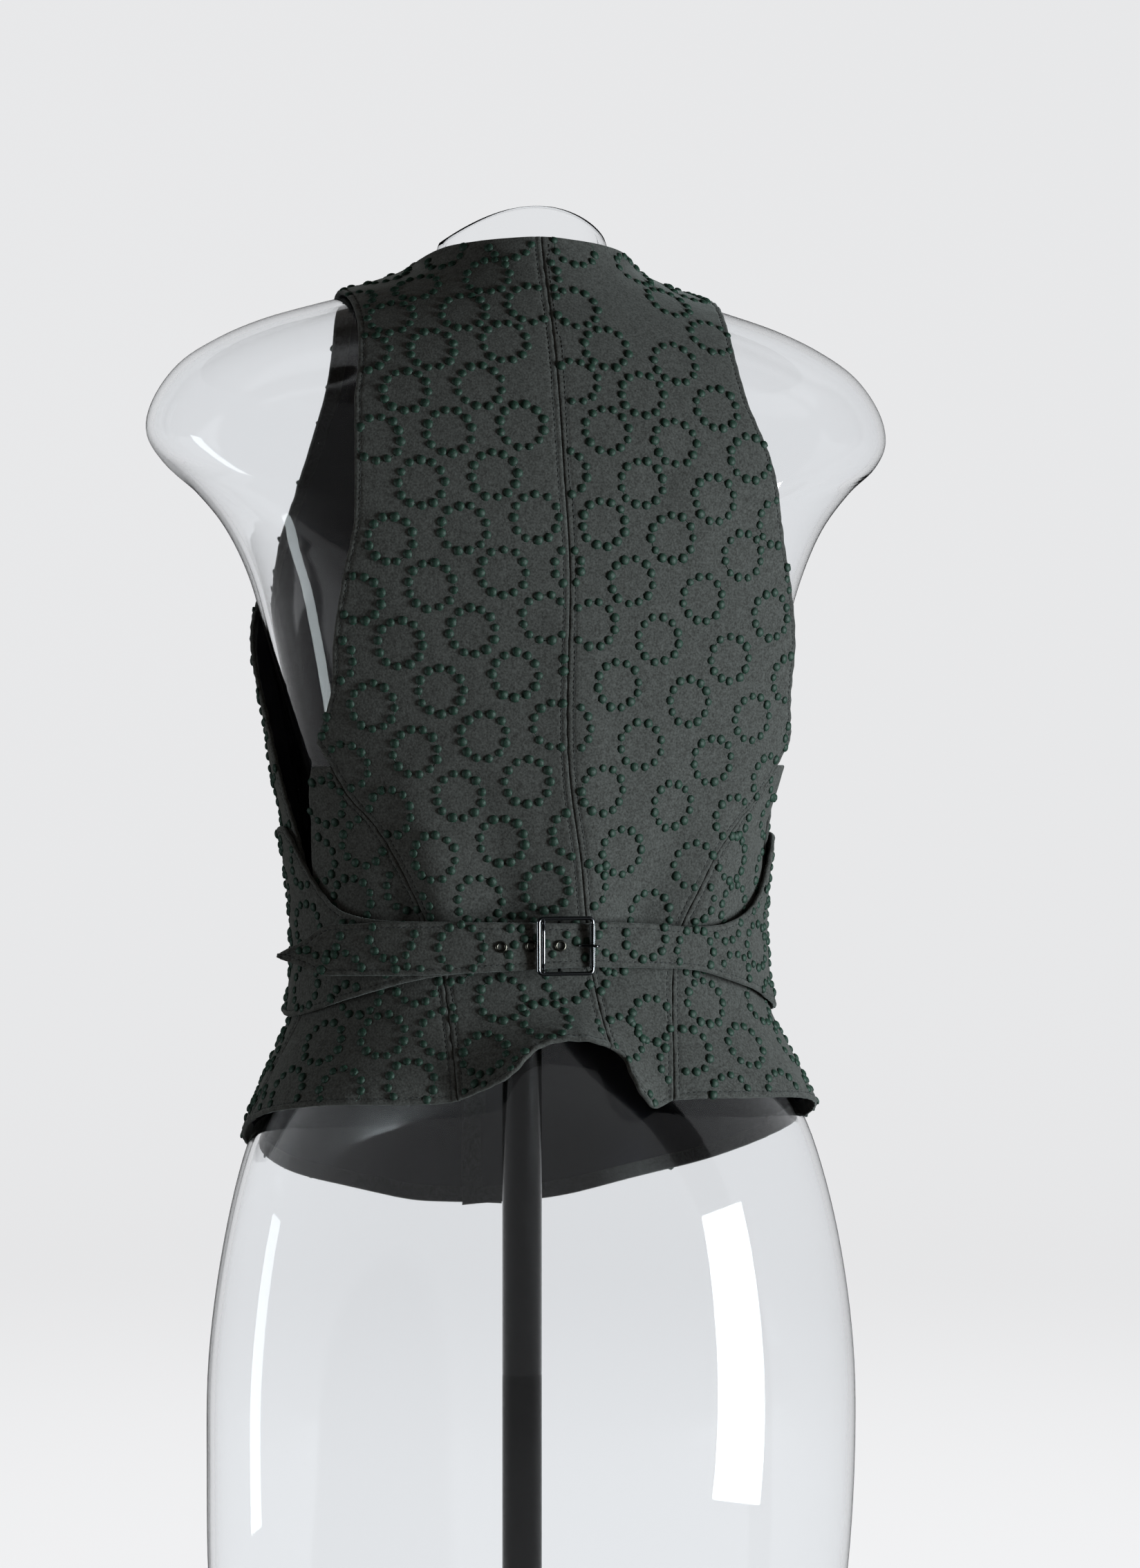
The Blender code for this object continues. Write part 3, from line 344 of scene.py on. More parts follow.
BELT_RIGHT = (
    (-0.112, -0.05, 0.626, 0.54, 0.0038), (-0.126, -0.012, 0.631, 0.536, 0.0038),
    (-0.132, 0.024, 0.634, 0.533, 0.0038), (-0.129, 0.042, 0.622, 0.536, 0.0042),
    (-0.121, 0.055, 0.604, 0.54, 0.0048), (-0.111, 0.066, 0.5925, 0.546, 0.0058),
    (-0.095, 0.08, 0.585, 0.5525, 0.007), (-0.072, 0.09, 0.5835, 0.559, 0.0082),
    (-0.05, 0.096, 0.5855, 0.5605, 0.0088), (-0.026, 0.1, 0.5872, 0.5612, 0.0098),
    (-0.008, 0.101, 0.5872, 0.5612, 0.0118), (0.01, 0.101, 0.5874, 0.5605, 0.0122),
    (0.04, 0.099, 0.5878, 0.559, 0.0122), (0.07, 0.092, 0.588, 0.5575, 0.012),
    (0.092, 0.082, 0.5872, 0.557, 0.0124), (0.105, 0.0725, 0.586, 0.5566, 0.0138),
    (0.114, 0.0635, 0.585, 0.5565, 0.0158), (0.1205, 0.056, 0.5765, 0.5608, 0.0196),
    (0.1265, 0.047, 0.5681, 0.5657, 0.026),
)

# The buckle, where the straps meet behind, and the metal-edged holes in the right strap
BUCKLE_LEFT_X = 0.0151
BUCKLE_RIGHT_X = -0.0123
KEEPER_X = 0.0127
PIVOT_X = 0.0030
BUCKLE_Z = 0.5746
BUCKLE_HALF_HEIGHT = 0.0146
BUCKLE_OUT = 0.0176
STRAP_OUT = 0.0120
PIVOT_OUT = 0.0106
WIRE_RADIUS = 0.0011
PIVOT_RADIUS = 0.0009
PRONG_RADIUS = 0.0008
COIL_RADIUS = 0.0023
COIL_HALF_LENGTH = 0.0118
EYELET_PITCH = 0.0149
FIRST_EYELET_X = 0.0037
EYELET_COUNT = 3
PRONG_HOLE_X = -0.0062
EYELET_BORE = 0.0017
EYELET_BARREL = 0.0025
EYELET_FLANGE = 0.0031

BUTTON_COUNT = 5
BUTTON_RADIUS = 0.0095
BUTTON_HEIGHT = 0.0035


def gaps_along(points):
    """The distances from point to point along a line."""
    return np.linalg.norm(np.diff(points[:, :3], axis=0), axis=1)


def lengths_along(points):
    """How far along a line each of its points is."""
    return np.concatenate(([0], np.cumsum(gaps_along(points))))


def along(rows, steps):
    """Evenly spaced points, by length, on a smooth curve through rough places."""
    dense = smooth_table(rows, 160)
    lengths = lengths_along(dense)
    even = np.linspace(0, lengths[-1], steps)
    return np.column_stack([np.interp(even, lengths, dense[:, k]) for k in range(dense.shape[1])])


def back_lift(point):
    """The back stands off at its edges between the shoulder blades and the belt."""
    x, _, z = point
    edge = max(0.0, (abs(x) - BACK_EDGE_FROM) / BACK_EDGE_RUN)
    height = max(0.0, 1 - ((z - BACK_LIFT_MIDDLE) / BACK_LIFT_HALF) ** 2)
    return BACK_EDGE_LIFT * edge * edge * height


def lean(rows):
    """Rough places moved sideways as the back hangs."""
    rows = np.array(rows, float)
    heights, shifts = np.array(LEAN).T
    rows[:, 0] += np.interp(rows[:, 2], heights, shifts)
    return rows


def strap_row(row, body, columns):
    """Places across a strap's inner face, bottom to top, and the ways out; a narrow strap is straight."""
    x, y, top, bottom, lift = row
    places, ways = [], []
    for share in np.linspace(0, 1, columns):
        surface, way = body.place((x, y, bottom + share * (top - bottom)))
        places.append(surface + way * lift)
        ways.append(way)
    flat = clamp((2 * FLAT_STRAP_HEIGHT - (top - bottom)) / FLAT_STRAP_HEIGHT)
    middle = sum(ways, Vector()).normalized()
    for k, share in enumerate(np.linspace(0, 1, columns)):
        straight = places[0].lerp(places[-1], share)
        places[k] = places[k].lerp(straight, flat)
        ways[k] = ways[k].lerp(middle, flat).normalized()
    return places, ways


def belt_place(table, body, x, extra=0.0):
    """A place on the middle of a strap at x across the back, and the way out."""
    rows = along(table, 240)
    rows = rows[rows[:, 1] > 0.060]
    rows = rows[np.argsort(rows[:, 0])]
    row = [x] + [np.interp(x, rows[:, 0], rows[:, k]) for k in (1, 2, 3, 4)]
    places, ways = strap_row(row, body, 3)
    return places[1] + ways[1] * extra, ways[1]


# Finer cloth: distances in from an edge where the rounded rim and the stitched groove need points
EDGE_STEPS = (0.0, 0.00012, 0.00035, 0.00075, 0.0013, 0.0020, 0.0026, 0.0032, 0.0038, 0.0046, 0.0060, 0.0080)
RIM = 0.0013
STITCH_IN = 0.0032
GROOVE_DEPTH = 0.00045
GROOVE_HALF = 0.0008


def rough_noise(point, size, seed=0.0):
    return noise.noise(Vector((point[0] / size + seed, point[1] / size, point[2] / size)))


def shares(length, count):
    """Places from 0 to 1 along a length, close together near both ends."""
    near = np.array(EDGE_STEPS) / length * min(1.0, 0.35 * length / EDGE_STEPS[-1])
    return np.concatenate((near, np.linspace(near[-1], 1 - near[-1], count)[1:-1], 1 - near[::-1]))


def reading(border, share):
    """A border's point at a share of its places."""
    places = np.linspace(0, 1, len(border))
    return np.array([np.interp(share, places, border[:, k]) for k in range(border.shape[1])])


class Sheet:
    """A cloth wall on the body as a fine grid: inner points, ways out, and how far each is from each edge."""

    def __init__(self, points, ways):
        self.points, self.ways = points, ways
        self.rows, self.columns = points.shape[:2]
        steps_across = np.linalg.norm(np.diff(points, axis=1), axis=2)
        steps_down = np.linalg.norm(np.diff(points, axis=0), axis=2)
        self.widths = steps_across.sum(axis=1)
        along_row = np.concatenate((np.zeros((self.rows, 1)), np.cumsum(steps_across, axis=1)), axis=1)
        along_column = np.concatenate((np.zeros((1, self.columns)), np.cumsum(steps_down, axis=0)))
        self.from_left, self.from_right = along_row, along_row[:, -1:] - along_row
        self.from_top, self.from_bottom = along_column, along_column[-1:] - along_column
        self.gaps = {"left": self.from_left, "right": self.from_right,
                     "top": self.from_top, "bottom": self.from_bottom}
        self.edge = np.minimum.reduce(list(self.gaps.values()))

    def normals(self):
        """The way out of the folded cloth itself at every point."""
        run = np.gradient(self.points, axis=1)
        fall = np.gradient(self.points, axis=0)
        ways = np.cross(run, fall)
        ways /= np.linalg.norm(ways, axis=2, keepdims=True) + 1e-12
        turn = np.sign((ways * self.ways).sum(axis=2, keepdims=True))
        turn[turn == 0] = 1
        return ways * turn


def fine_sheet(body, left, right, top, bottom, lift, step=0.0026):
    """A panel between four borders, as fine as its folds need."""
    length = gaps_along((left + right) / 2).sum()
    downs = shares(length, int(length / step))
    width = max(gaps_along(edge).sum() for edge in (top, bottom))
    count = int(width / step)
    points, ways = [], []
    for down in downs:
        start, end = reading(left, down), reading(right, down)
        wide = max(np.linalg.norm(end - start), 0.004)
        row, row_ways = [], []
        for u in shares(wide, count):
            rough = (1 - u) * start + u * end
            bend_top = reading(top, u) - ((1 - u) * left[0] + u * right[0])
            bend_bottom = reading(bottom, u) - ((1 - u) * left[-1] + u * right[-1])
            rough = rough + (1 - down) ** 2 * bend_top + down ** 4 * bend_bottom
            surface, way = body.place(rough)
            row.append(surface + way * (lift(surface) + fold_height(surface)))
            row_ways.append(way)
        points.append(row)
        ways.append(row_ways)
    return Sheet(np.array(points), np.array(ways))


def back_sheets(body, detail=8):
    """The four back panels."""
    neckline = along(NECK_BACK, 6 * detail + 1)
    shoulder = along((NECK_SIDE, SHOULDER_EDGE), 3 * detail + 1)
    found = {}
    for name, sign, hem in (("left", 1, HEM_BACK_LEFT), ("right", -1, HEM_BACK_RIGHT)):
        side = np.array((sign, 1, 1))
        seam = along(SIDE_SEAM_BACK, 14 * detail + 1) * side
        outer = lean(np.vstack((along(ARMHOLE_BACK, 18 * detail + 1) * side, seam[1:])))
        centre = along(CENTRE_BACK, len(outer))
        top = np.vstack((neckline, shoulder[1:])) * side
        top[0] = centre[0]
        found[f"back_centre_{name}"] = fine_sheet(body, centre, outer, top, along(hem, len(top)), back_lift)
        seam = outer[-(13 * detail + 1):]
        edge = np.vstack((along(ARMHOLE_BACK_LOW, 7 * detail + 1), along(SIDE_SEAM, 7 * detail + 1)[1:]))
        edge = lean(edge * side)[detail:]
        top = np.array([seam[0] * (1 - u) + edge[0] * u for u in np.linspace(0, 1, 6 * detail + 1)])
        bottom = along(HEM_SIDE, 6 * detail + 1) * side
        found[f"back_side_{name}"] = fine_sheet(body, seam, edge, top, bottom, back_lift)
    return found


def front_sheets(body, detail=8):
    """Both fronts, the left one over the right one."""
    shoulder = along((NECK_SIDE, SHOULDER_EDGE), 12 * detail + 1)
    found = {}
    for name, sign in (("left", 1), ("right", -1)):
        side = np.array((sign, 1, 1))
        seam = along(SIDE_SEAM, 7 * detail + 1)[1:]
        outer = np.vstack((along(ARMHOLE_FRONT, 18 * detail + 1), seam)) * side
        neck = along(NECK_FRONT, 12 * detail + 1)
        centre = along(CENTRE_FRONT, len(outer) - len(neck) + 1)
        inner = np.vstack((neck, centre[1:])) * side
        over = FRONT_OVERLAP if name == "left" else 0.0

        def lift(point, over=over):
            near = clamp((OVERLAP_WIDTH - abs(point[0])) / OVERLAP_FADE_X)
            return over * near * clamp((OVERLAP_TOP - point[2]) / OVERLAP_FADE_Z)

        bottom = along(HEM_FRONT, 12 * detail + 1) * side
        found[f"front_{name}"] = fine_sheet(body, inner, outer, shoulder * side, bottom, lift, step=0.0032)
    return found


def belt_sheet(table, body, step=0.0028):
    """A belt's tab and strap, with the strap's width as the sheet's columns."""
    dense = along(table, 400)
    length = gaps_along(dense).sum()
    downs = shares(length, int(length / step))
    points, ways = [], []
    for down in downs:
        row = reading(dense, down)
        wide = max(row[2] - row[3], 0.0015)
        places, outs = strap_row(row, body, 9)
        places, outs = np.array(places), np.array(outs)
        at = shares(wide, 16)
        points.append([reading(places, u) for u in at])
        ways.append([reading(outs, u) for u in at])
    return Sheet(np.array(points), np.array(ways))


# The puckers beside a stitched edge, the cloth's broad and fine unevenness, and the wool facing inside its
# edges, past which the inner face takes painted shade
PUCKER_PITCH = 0.0105
PUCKER_HEIGHT = 0.00032
PUCKER_REACH = 0.0085
UNEVEN = ((0.00050, 0.034, 0), (0.00022, 0.011, 5))
FACING = 0.011


def cloth_wall(name, sheet, stitched, seed):
    """The finer cloth wall of a sheet with rounded rims; gives back the object and its outer points."""
    normals = sheet.normals()
    inner, outer = np.zeros_like(sheet.points), np.zeros_like(sheet.points)
    for i in range(sheet.rows):
        for j in range(sheet.columns):
            point, way = sheet.points[i, j], normals[i, j]
            edge = sheet.edge[i, j]
            full = 1.0 if edge >= RIM else math.sqrt(max(0.0, 1 - (1 - edge / RIM) ** 2))
            wave = sum(height * rough_noise(point, size, seed + more) for height, size, more in UNEVEN)
            groove = 0.0
            for side in stitched:
                gap = sheet.gaps[side][i, j]
                groove -= GROOVE_DEPTH * math.exp(-((gap - STITCH_IN) / GROOVE_HALF) ** 2)
                run = sheet.from_top[i, j] if side in ("left", "right") else sheet.from_left[i, j]
                phase = 2 * math.pi * run / PUCKER_PITCH + 4.0 * rough_noise(point, 0.05, seed + 9)
                wave += PUCKER_HEIGHT * math.sin(phase) * math.exp(-(gap / PUCKER_REACH) ** 2)
            middle = point + way * (CLOTH / 2 + wave * full)
            outer[i, j] = middle + way * (CLOTH / 2 * full + groove * full)
            inner[i, j] = middle - way * (CLOTH / 2 * full)
    mesh = bmesh.new()
    low = [[mesh.verts.new(p) for p in row] for row in inner]
    high = [[mesh.verts.new(p) for p in row] for row in outer]
    for i in range(sheet.rows - 1):
        for j in range(sheet.columns - 1):
            mesh.faces.new((high[i][j], high[i][j + 1], high[i + 1][j + 1], high[i + 1][j]))
            face = mesh.faces.new((low[i][j], low[i + 1][j], low[i + 1][j + 1], low[i][j + 1]))
            # Inner faces past the facing take the second material, a near-black painted shade of the
            # garment's hollow inside
            face.material_index = int(sheet.edge[i, j] > FACING)
    bmesh.ops.remove_doubles(mesh, verts=mesh.verts, dist=2e-6)
    bmesh.ops.recalc_face_normals(mesh, faces=mesh.faces)
    data = bpy.data.meshes.new(name)
    mesh.to_mesh(data)
    mesh.free()
    wall = add_piece(name, data, "wool")
    # The second material: painted shade for the inner face past the facing
    wall.data.materials.append(LOOKS["inside_shade"])
    return wall, outer


def add_piece(name, data, look):
    """Mesh data as a piece of the part, smooth, with its material and body."""
    data.materials.append(LOOKS[look])
    data.shade_smooth()
    thing = bpy.data.objects.new(name, data)
    bpy.context.scene.collection.objects.link(thing)
    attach(thing, "root")
    return thing


def add_points(name, points, faces, look):
    """A joined mesh from arrays of points and faces."""
    data = bpy.data.meshes.new(name)
    data.from_pydata([tuple(p) for p in points], [], faces)
    return add_piece(name, data, look)


def between(where, lengths, rows):
    """A point or way read off its rows at a length along them."""
    return np.array([np.interp(where, lengths, rows[:, k]) for k in range(3)])


def carried(place, inner, outer, gap):
    """A place moved on by a gap, the way from an inner point to an outer one."""
    return place + (outer - inner) / np.linalg.norm(outer - inner) * abs(gap)


class Surface:
    """A cloth wall's outer face: places by distances along the cloth, and the nearest place to any point."""

    def __init__(self, sheet, outer):
        self.sheet, self.outer, self.normals = sheet, outer, sheet.normals()
        self.down = sheet.from_top[:, 0]
        faces = grid_faces(sheet.rows, sheet.columns, False)
        self.tree = BVHTree.FromPolygons([Vector(p) for p in outer.reshape(-1, 3)], faces)

    def at(self, s, t):
        """The place at s across from the first column and t down it, carried straight on beyond the edges."""
        sheet = self.sheet
        near_t = min(max(t, self.down[0]), self.down[-1])
        i = min(max(int(np.searchsorted(self.down, near_t)) - 1, 0), sheet.rows - 2)
        share = (near_t - self.down[i]) / max(self.down[i + 1] - self.down[i], 1e-9)
        across = sheet.from_left[i] * (1 - share) + sheet.from_left[i + 1] * share
        row = self.outer[i] * (1 - share) + self.outer[i + 1] * share
        near_s = min(max(s, across[0]), across[-1])
        place = between(near_s, across, row)
        if s != near_s:
            inner, outer = (row[12], row[8]) if s < near_s else (row[-13], row[-9])
            place = carried(place, inner, outer, s - near_s)
        if t != near_t:
            column = self.outer[:, min(int(np.searchsorted(across, near_s)), sheet.columns - 1)]
            inner, outer = (column[12], column[8]) if t < near_t else (column[-13], column[-9])
            place = carried(place, inner, outer, t - near_t)
        return place

    def snap(self, point):
        """The nearest place on the face, the way out there and how far it is from an edge."""
        hit, _, index, gap = self.tree.find_nearest(Vector(point))
        i, j = divmod(index, self.sheet.columns - 1)
        return np.array(hit), self.normals[i, j], self.sheet.edge[i, j], gap


def knot_shapes():
    """A few felted knots: small uneven domes, as points and faces, one unit across and high."""
    shapes = []
    for kind in range(8):
        points = []
        for ring in range(4):
            lift = (math.pi / 2) * ring / 4
            for k in range(9):
                angle = 2 * math.pi * k / 9 + 0.2 * ring
                c, s = math.cos(angle), math.sin(angle)
                uneven = 1 + 0.20 * noise.noise(Vector((c * 1.7 + kind * 7, s * 1.7, ring)))
                points.append((math.cos(lift) * c * uneven, math.cos(lift) * s * uneven,
                               -0.15 + 1.15 * math.sin(lift) * (0.92 + 0.08 * uneven)))
        points.append((0.05, -0.04, 1.0))
        faces = grid_faces(4, 9, True) + [(27 + k, 27 + (k + 1) % 9, 36) for k in range(9)]
        shapes.append((np.array(points), faces + [tuple(range(8, -1, -1))]))
    return shapes


# The rings of felted knots
KNOTS_A_RING = 12
RING_RADIUS = 0.0121
KNOT_RADIUS = 0.0025
KNOT_HEIGHT = 0.0014
THREAD_RADIUS = 0.00028
# Rings are at least this far apart and may start this far off a panel; a place is lost this far off the
# cloth, and a knot or thread is left out when it is nearer an edge than these
RING_APART = 0.0290
RING_MARGIN = 0.02
RING_LOST = 0.016
KNOT_LOST = 0.008
KNOT_EDGE = 0.0016
THREAD_EDGE = 0.0012
# How much a knot's distance from its ring's middle, its angle round it, its lean and its size differ
RADIUS_RANGE = (0.965, 1.035)
ANGLE_RANGE = (-0.035, 0.035)
LEAN_RANGE = (-0.15, 0.15)
SIZE_RANGE = (0.86, 1.12)


def ring_centres(pattern, across, down):
    """Flat places of every ring on or just off a panel: the known ones, then their neighbours a step away."""
    steps, known = np.array(pattern[0]) / 1000, pattern[1]
    places = {(i, j): np.array((s, t)) / 1000 for i, j, s, t in known}
    last = list(places)
    while last:
        fresh = {}
        for i, j in last:
            for a, b in ((1, 0), (-1, 0), (0, 1), (0, -1), (1, -1), (-1, 1)):
                if (i + a, j + b) not in places:
                    fresh.setdefault((i + a, j + b), []).append(places[i, j] + np.array((a, b)) @ steps)
        last = []
        for key, guesses in sorted(fresh.items()):
            s, t = np.mean(guesses, axis=0)
            near = min(np.linalg.norm(place - (s, t)) for place in places.values())
            inside = -RING_MARGIN < s < across + RING_MARGIN and -RING_MARGIN < t < down + RING_MARGIN
            if near > RING_APART and inside:
                places[key] = np.array((s, t))
                last.append(key)
    return list(places.values())


def ways_along(way, rough=(0.31, 0.2, 0.93)):
    """Two ways along the cloth at a place, across the way out and each other."""
    side = np.cross(way, rough)
    side /= np.linalg.norm(side)
    return side, np.cross(way, side)


def add_knot(points, faces, shape, place, way, size, rng):
    """One felted knot, turned and leant a little its own way."""
    side, other = ways_along(way)
    spin = rng.uniform(0, 2 * math.pi)
    c, d = math.cos(spin), math.sin(spin)
    lean_x, lean_y = rng.uniform(*LEAN_RANGE), rng.uniform(*LEAN_RANGE)
    start = len(points)
    for x, y, z in shape[0]:
        u, v = x * c - y * d + lean_x * z, x * d + y * c + lean_y * z
        rise = z * size * KNOT_HEIGHT / KNOT_RADIUS
        points.append(place + side * (u * size) + other * (v * size) + way * rise)
    faces.extend(shifted(shape[1], start))


def add_thread(points, faces, line):
    """A fine thread lying on the cloth through places with their ways out."""
    start = len(points)
    for place, way in line:
        side, other = ways_along(way)
        for corner in range(3):
            angle = 2 * math.pi * corner / 3 + 0.5
            points.append(place + (side * math.cos(angle) + other * math.sin(angle)) * THREAD_RADIUS)
    faces.extend(shifted(grid_faces(len(line), 3, True), start))


def knots_on(name, surface, pattern, seed):
    """The rings on one panel as one mesh of knots and fine threads between them, cut at its edges."""
    rng = random.Random(seed)
    shapes = knot_shapes()
    points, faces = [], []
    sheet = surface.sheet
    for s, t in ring_centres(pattern, sheet.widths.max(), surface.down[-1]):
        middle = surface.at(s, t)
        _, way, _, gap = surface.snap(middle)
        if gap > RING_LOST:
            continue
        side, other = ways_along(way, (0.0, 0.0, 1.0))
        turn = rng.uniform(0, 2 * math.pi)

        def on_ring(angle, radius):
            return surface.snap(middle + (side * math.cos(angle) + other * math.sin(angle)) * radius)

        for k in range(KNOTS_A_RING + 1):
            angle = turn + 2 * math.pi * k / KNOTS_A_RING
            if k < KNOTS_A_RING:
                radius = RING_RADIUS * rng.uniform(*RADIUS_RANGE)
                place, out, edge, gap = on_ring(angle + rng.uniform(*ANGLE_RANGE), radius)
                if edge > KNOT_EDGE and gap < KNOT_LOST:
                    size = KNOT_RADIUS * rng.uniform(*SIZE_RANGE)
                    add_knot(points, faces, shapes[rng.randrange(len(shapes))], place, out, size, rng)
            if k:
                line = [on_ring(angle - 2 * math.pi / KNOTS_A_RING * (1 - step / 3), RING_RADIUS)
                        for step in range(4)]
                clear = min(spot[2] for spot in line) > THREAD_EDGE
                if clear and max(spot[3] for spot in line) < KNOT_LOST:
                    add_thread(points, faces, [spot[:2] for spot in line])
    return add_points(name, points, faces, "green")


STITCH_PITCH = 0.0031
STITCH_LENGTH = 0.0023
STITCH_RADIUS = 0.00027
STITCH_BOW = 0.00028
STITCH_SUNK = 0.00008
STITCH_CLEAR = 0.003


def stitches_on(name, sheet, outer, sides, seed):
    """Stitches along a panel's edges, each a short bowed thread lying in the groove."""
    rng = random.Random(seed)
    normals = sheet.normals()
    points, faces = [], []
    for side in sides:
        line, ways = [], []
        gap = sheet.gaps[side]
        upright = side in ("left", "right")
        nearest = np.argmin(np.abs(gap - STITCH_IN), axis=1 if upright else 0)
        if upright:
            places, ends = list(enumerate(nearest)), (sheet.from_top, sheet.from_bottom)
        else:
            places, ends = [(i, j) for j, i in enumerate(nearest)], (sheet.from_left, sheet.from_right)
        for i, j in places:
            if min(ends[0][i, j], ends[1][i, j]) > STITCH_CLEAR:
                line.append(outer[i, j])
                ways.append(normals[i, j])
        if len(line) < 3:
            continue
        line, ways = np.array(line), np.array(ways)
        lengths = lengths_along(line)
        at = STITCH_PITCH / 2
        while at + STITCH_LENGTH < lengths[-1]:
            start = len(points)
            for step in range(5):
                share = step / 4
                where = at + STITCH_LENGTH * share
                place, way = between(where, lengths, line), between(where, lengths, ways)
                ahead = between(where + 0.0004, lengths, line) - place
                ahead /= np.linalg.norm(ahead) + 1e-9
                beside = np.cross(ahead, way)
                bow = STITCH_BOW * math.sin(math.pi * share) - STITCH_SUNK
                thick = STITCH_RADIUS * (0.55 + 0.45 * math.sin(math.pi * share))
                for corner in range(5):
                    a = 2 * math.pi * corner / 5
                    points.append(place + way * (bow + thick * math.sin(a)) + beside * (thick * math.cos(a)))
            caps = [tuple(range(4, -1, -1)), tuple(range(20, 25))]
            faces.extend(shifted(grid_faces(5, 5, True) + caps, start))
            at += STITCH_PITCH * rng.uniform(0.96, 1.04)
    return add_points(name, points, faces, "thread")


def arc(middle, wide, high, first, last, steps):
    """Points on part of an ellipse, between two angles in degrees."""
    angles = [math.radians(first + (last - first) * step / steps) for step in range(steps + 1)]
    return [(middle[0] + wide * math.cos(a), middle[1] + high * math.sin(a)) for a in angles]


def turned_piece(name, profile, place, way, sides, look, closed=True):
    """A piece turned round an axis: radii and heights along its profile."""
    axis = Vector(way).normalized()
    turn = Vector((0, 0, 1)).rotation_difference(axis).to_matrix()
    points, faces = [], []
    for k in range(sides):
        angle = 2 * math.pi * k / sides
        for r, h in profile:
            points.append(Vector(place) + turn @ Vector((r * math.cos(angle), r * math.sin(angle), h)))
    count = len(profile)
    for k in range(sides):
        after = (k + 1) % sides
        for i in range(count if closed else count - 1):
            j = (i + 1) % count
            faces.append((k * count + i, k * count + j, after * count + j, after * count + i))
    thing = add_points(name, points, faces, look)
    mesh = bmesh.new()
    mesh.from_mesh(thing.data)
    bmesh.ops.remove_doubles(mesh, verts=mesh.verts, dist=1e-7)
    bmesh.ops.recalc_face_normals(mesh, faces=mesh.faces)
    mesh.to_mesh(thing.data)
    mesh.free()
    thing.data.set_sharp_from_angle(angle=math.radians(35))
    return thing


def wire_piece(name, points, radii, closed, look, sides=12):
    """A round wire through places with a radius at each."""
    points = [Vector(p) for p in points]
    if not hasattr(radii, "__len__"):
        radii = [radii] * len(points)
    count = len(points)
    verts, faces = [], []
    frame = None
    for k, point in enumerate(points):
        before = points[(k - 1) % count] if closed or k else points[0]
        after = points[(k + 1) % count] if closed or k < count - 1 else points[-1]
        ahead = (after - before).normalized()
        if frame is None:
            frame = ahead.orthogonal().normalized()
        frame = (frame - ahead * frame.dot(ahead)).normalized()
        beside = ahead.cross(frame)
        for corner in range(sides):
            angle = 2 * math.pi * corner / sides
            verts.append(point + (frame * math.cos(angle) + beside * math.sin(angle)) * radii[k])
    for k in range(count if closed else count - 1):
        low, high = k * sides, ((k + 1) % count) * sides
        for corner in range(sides):
            after = (corner + 1) % sides
            faces.append((low + corner, low + after, high + after, high + corner))
    if not closed:
        faces.append(tuple(range(sides - 1, -1, -1)))
        faces.append(tuple((count - 1) * sides + k for k in range(sides)))
    return add_points(name, verts, faces, look)


# The fine noise's share of a nap, and the noise values of its dark and light colours
FINE_SHARE = 0.74
NAP_RANGE = (0.34, 0.68)


def value(node, name, number):
    node.inputs[name].default_value = number


def new_material(name, colour, roughness, metallic=0.0):
    material = bpy.data.materials.new(name)
    material.use_nodes = True
    shader = material.node_tree.nodes["Principled BSDF"]
    value(shader, "Base Color", (*colour, 1))
    value(shader, "Roughness", roughness)
    value(shader, "Metallic", metallic)
    return material, shader


def add_nap(material, shader, dark, light, grain, mottle, bump_height, strength):
    """A felted surface: two sizes of noise in the colour, and a fine raised nap."""
    tree = material.node_tree
    place = tree.nodes.new("ShaderNodeTexCoord")
    fine = tree.nodes.new("ShaderNodeTexNoise")
    broad = tree.nodes.new("ShaderNodeTexNoise")
    for node, scale, detail in ((fine, grain, 3.0), (broad, mottle, 2.0)):
        value(node, "Scale", scale)
        value(node, "Detail", detail)
        tree.links.new(place.outputs["Object"], node.inputs["Vector"])
    both = tree.nodes.new("ShaderNodeMath")
    both.operation = "MULTIPLY_ADD"
    both.inputs[1].default_value = FINE_SHARE
    tree.links.new(fine.outputs["Fac"], both.inputs[0])
    half = tree.nodes.new("ShaderNodeMath")
    half.operation = "MULTIPLY"
    half.inputs[1].default_value = 1 - FINE_SHARE
    tree.links.new(broad.outputs["Fac"], half.inputs[0])
    tree.links.new(half.outputs[0], both.inputs[2])
    ramp = tree.nodes.new("ShaderNodeValToRGB")
    for element, where, colour in zip(ramp.color_ramp.elements, NAP_RANGE, (dark, light)):
        element.position = where
        element.color = (*colour, 1)
    tree.links.new(both.outputs[0], ramp.inputs["Fac"])
    tree.links.new(ramp.outputs["Color"], shader.inputs["Base Color"])
    bump = tree.nodes.new("ShaderNodeBump")
    value(bump, "Strength", strength)
    value(bump, "Distance", bump_height)
    tree.links.new(both.outputs[0], bump.inputs["Height"])
    tree.links.new(bump.outputs["Normal"], shader.inputs["Normal"])


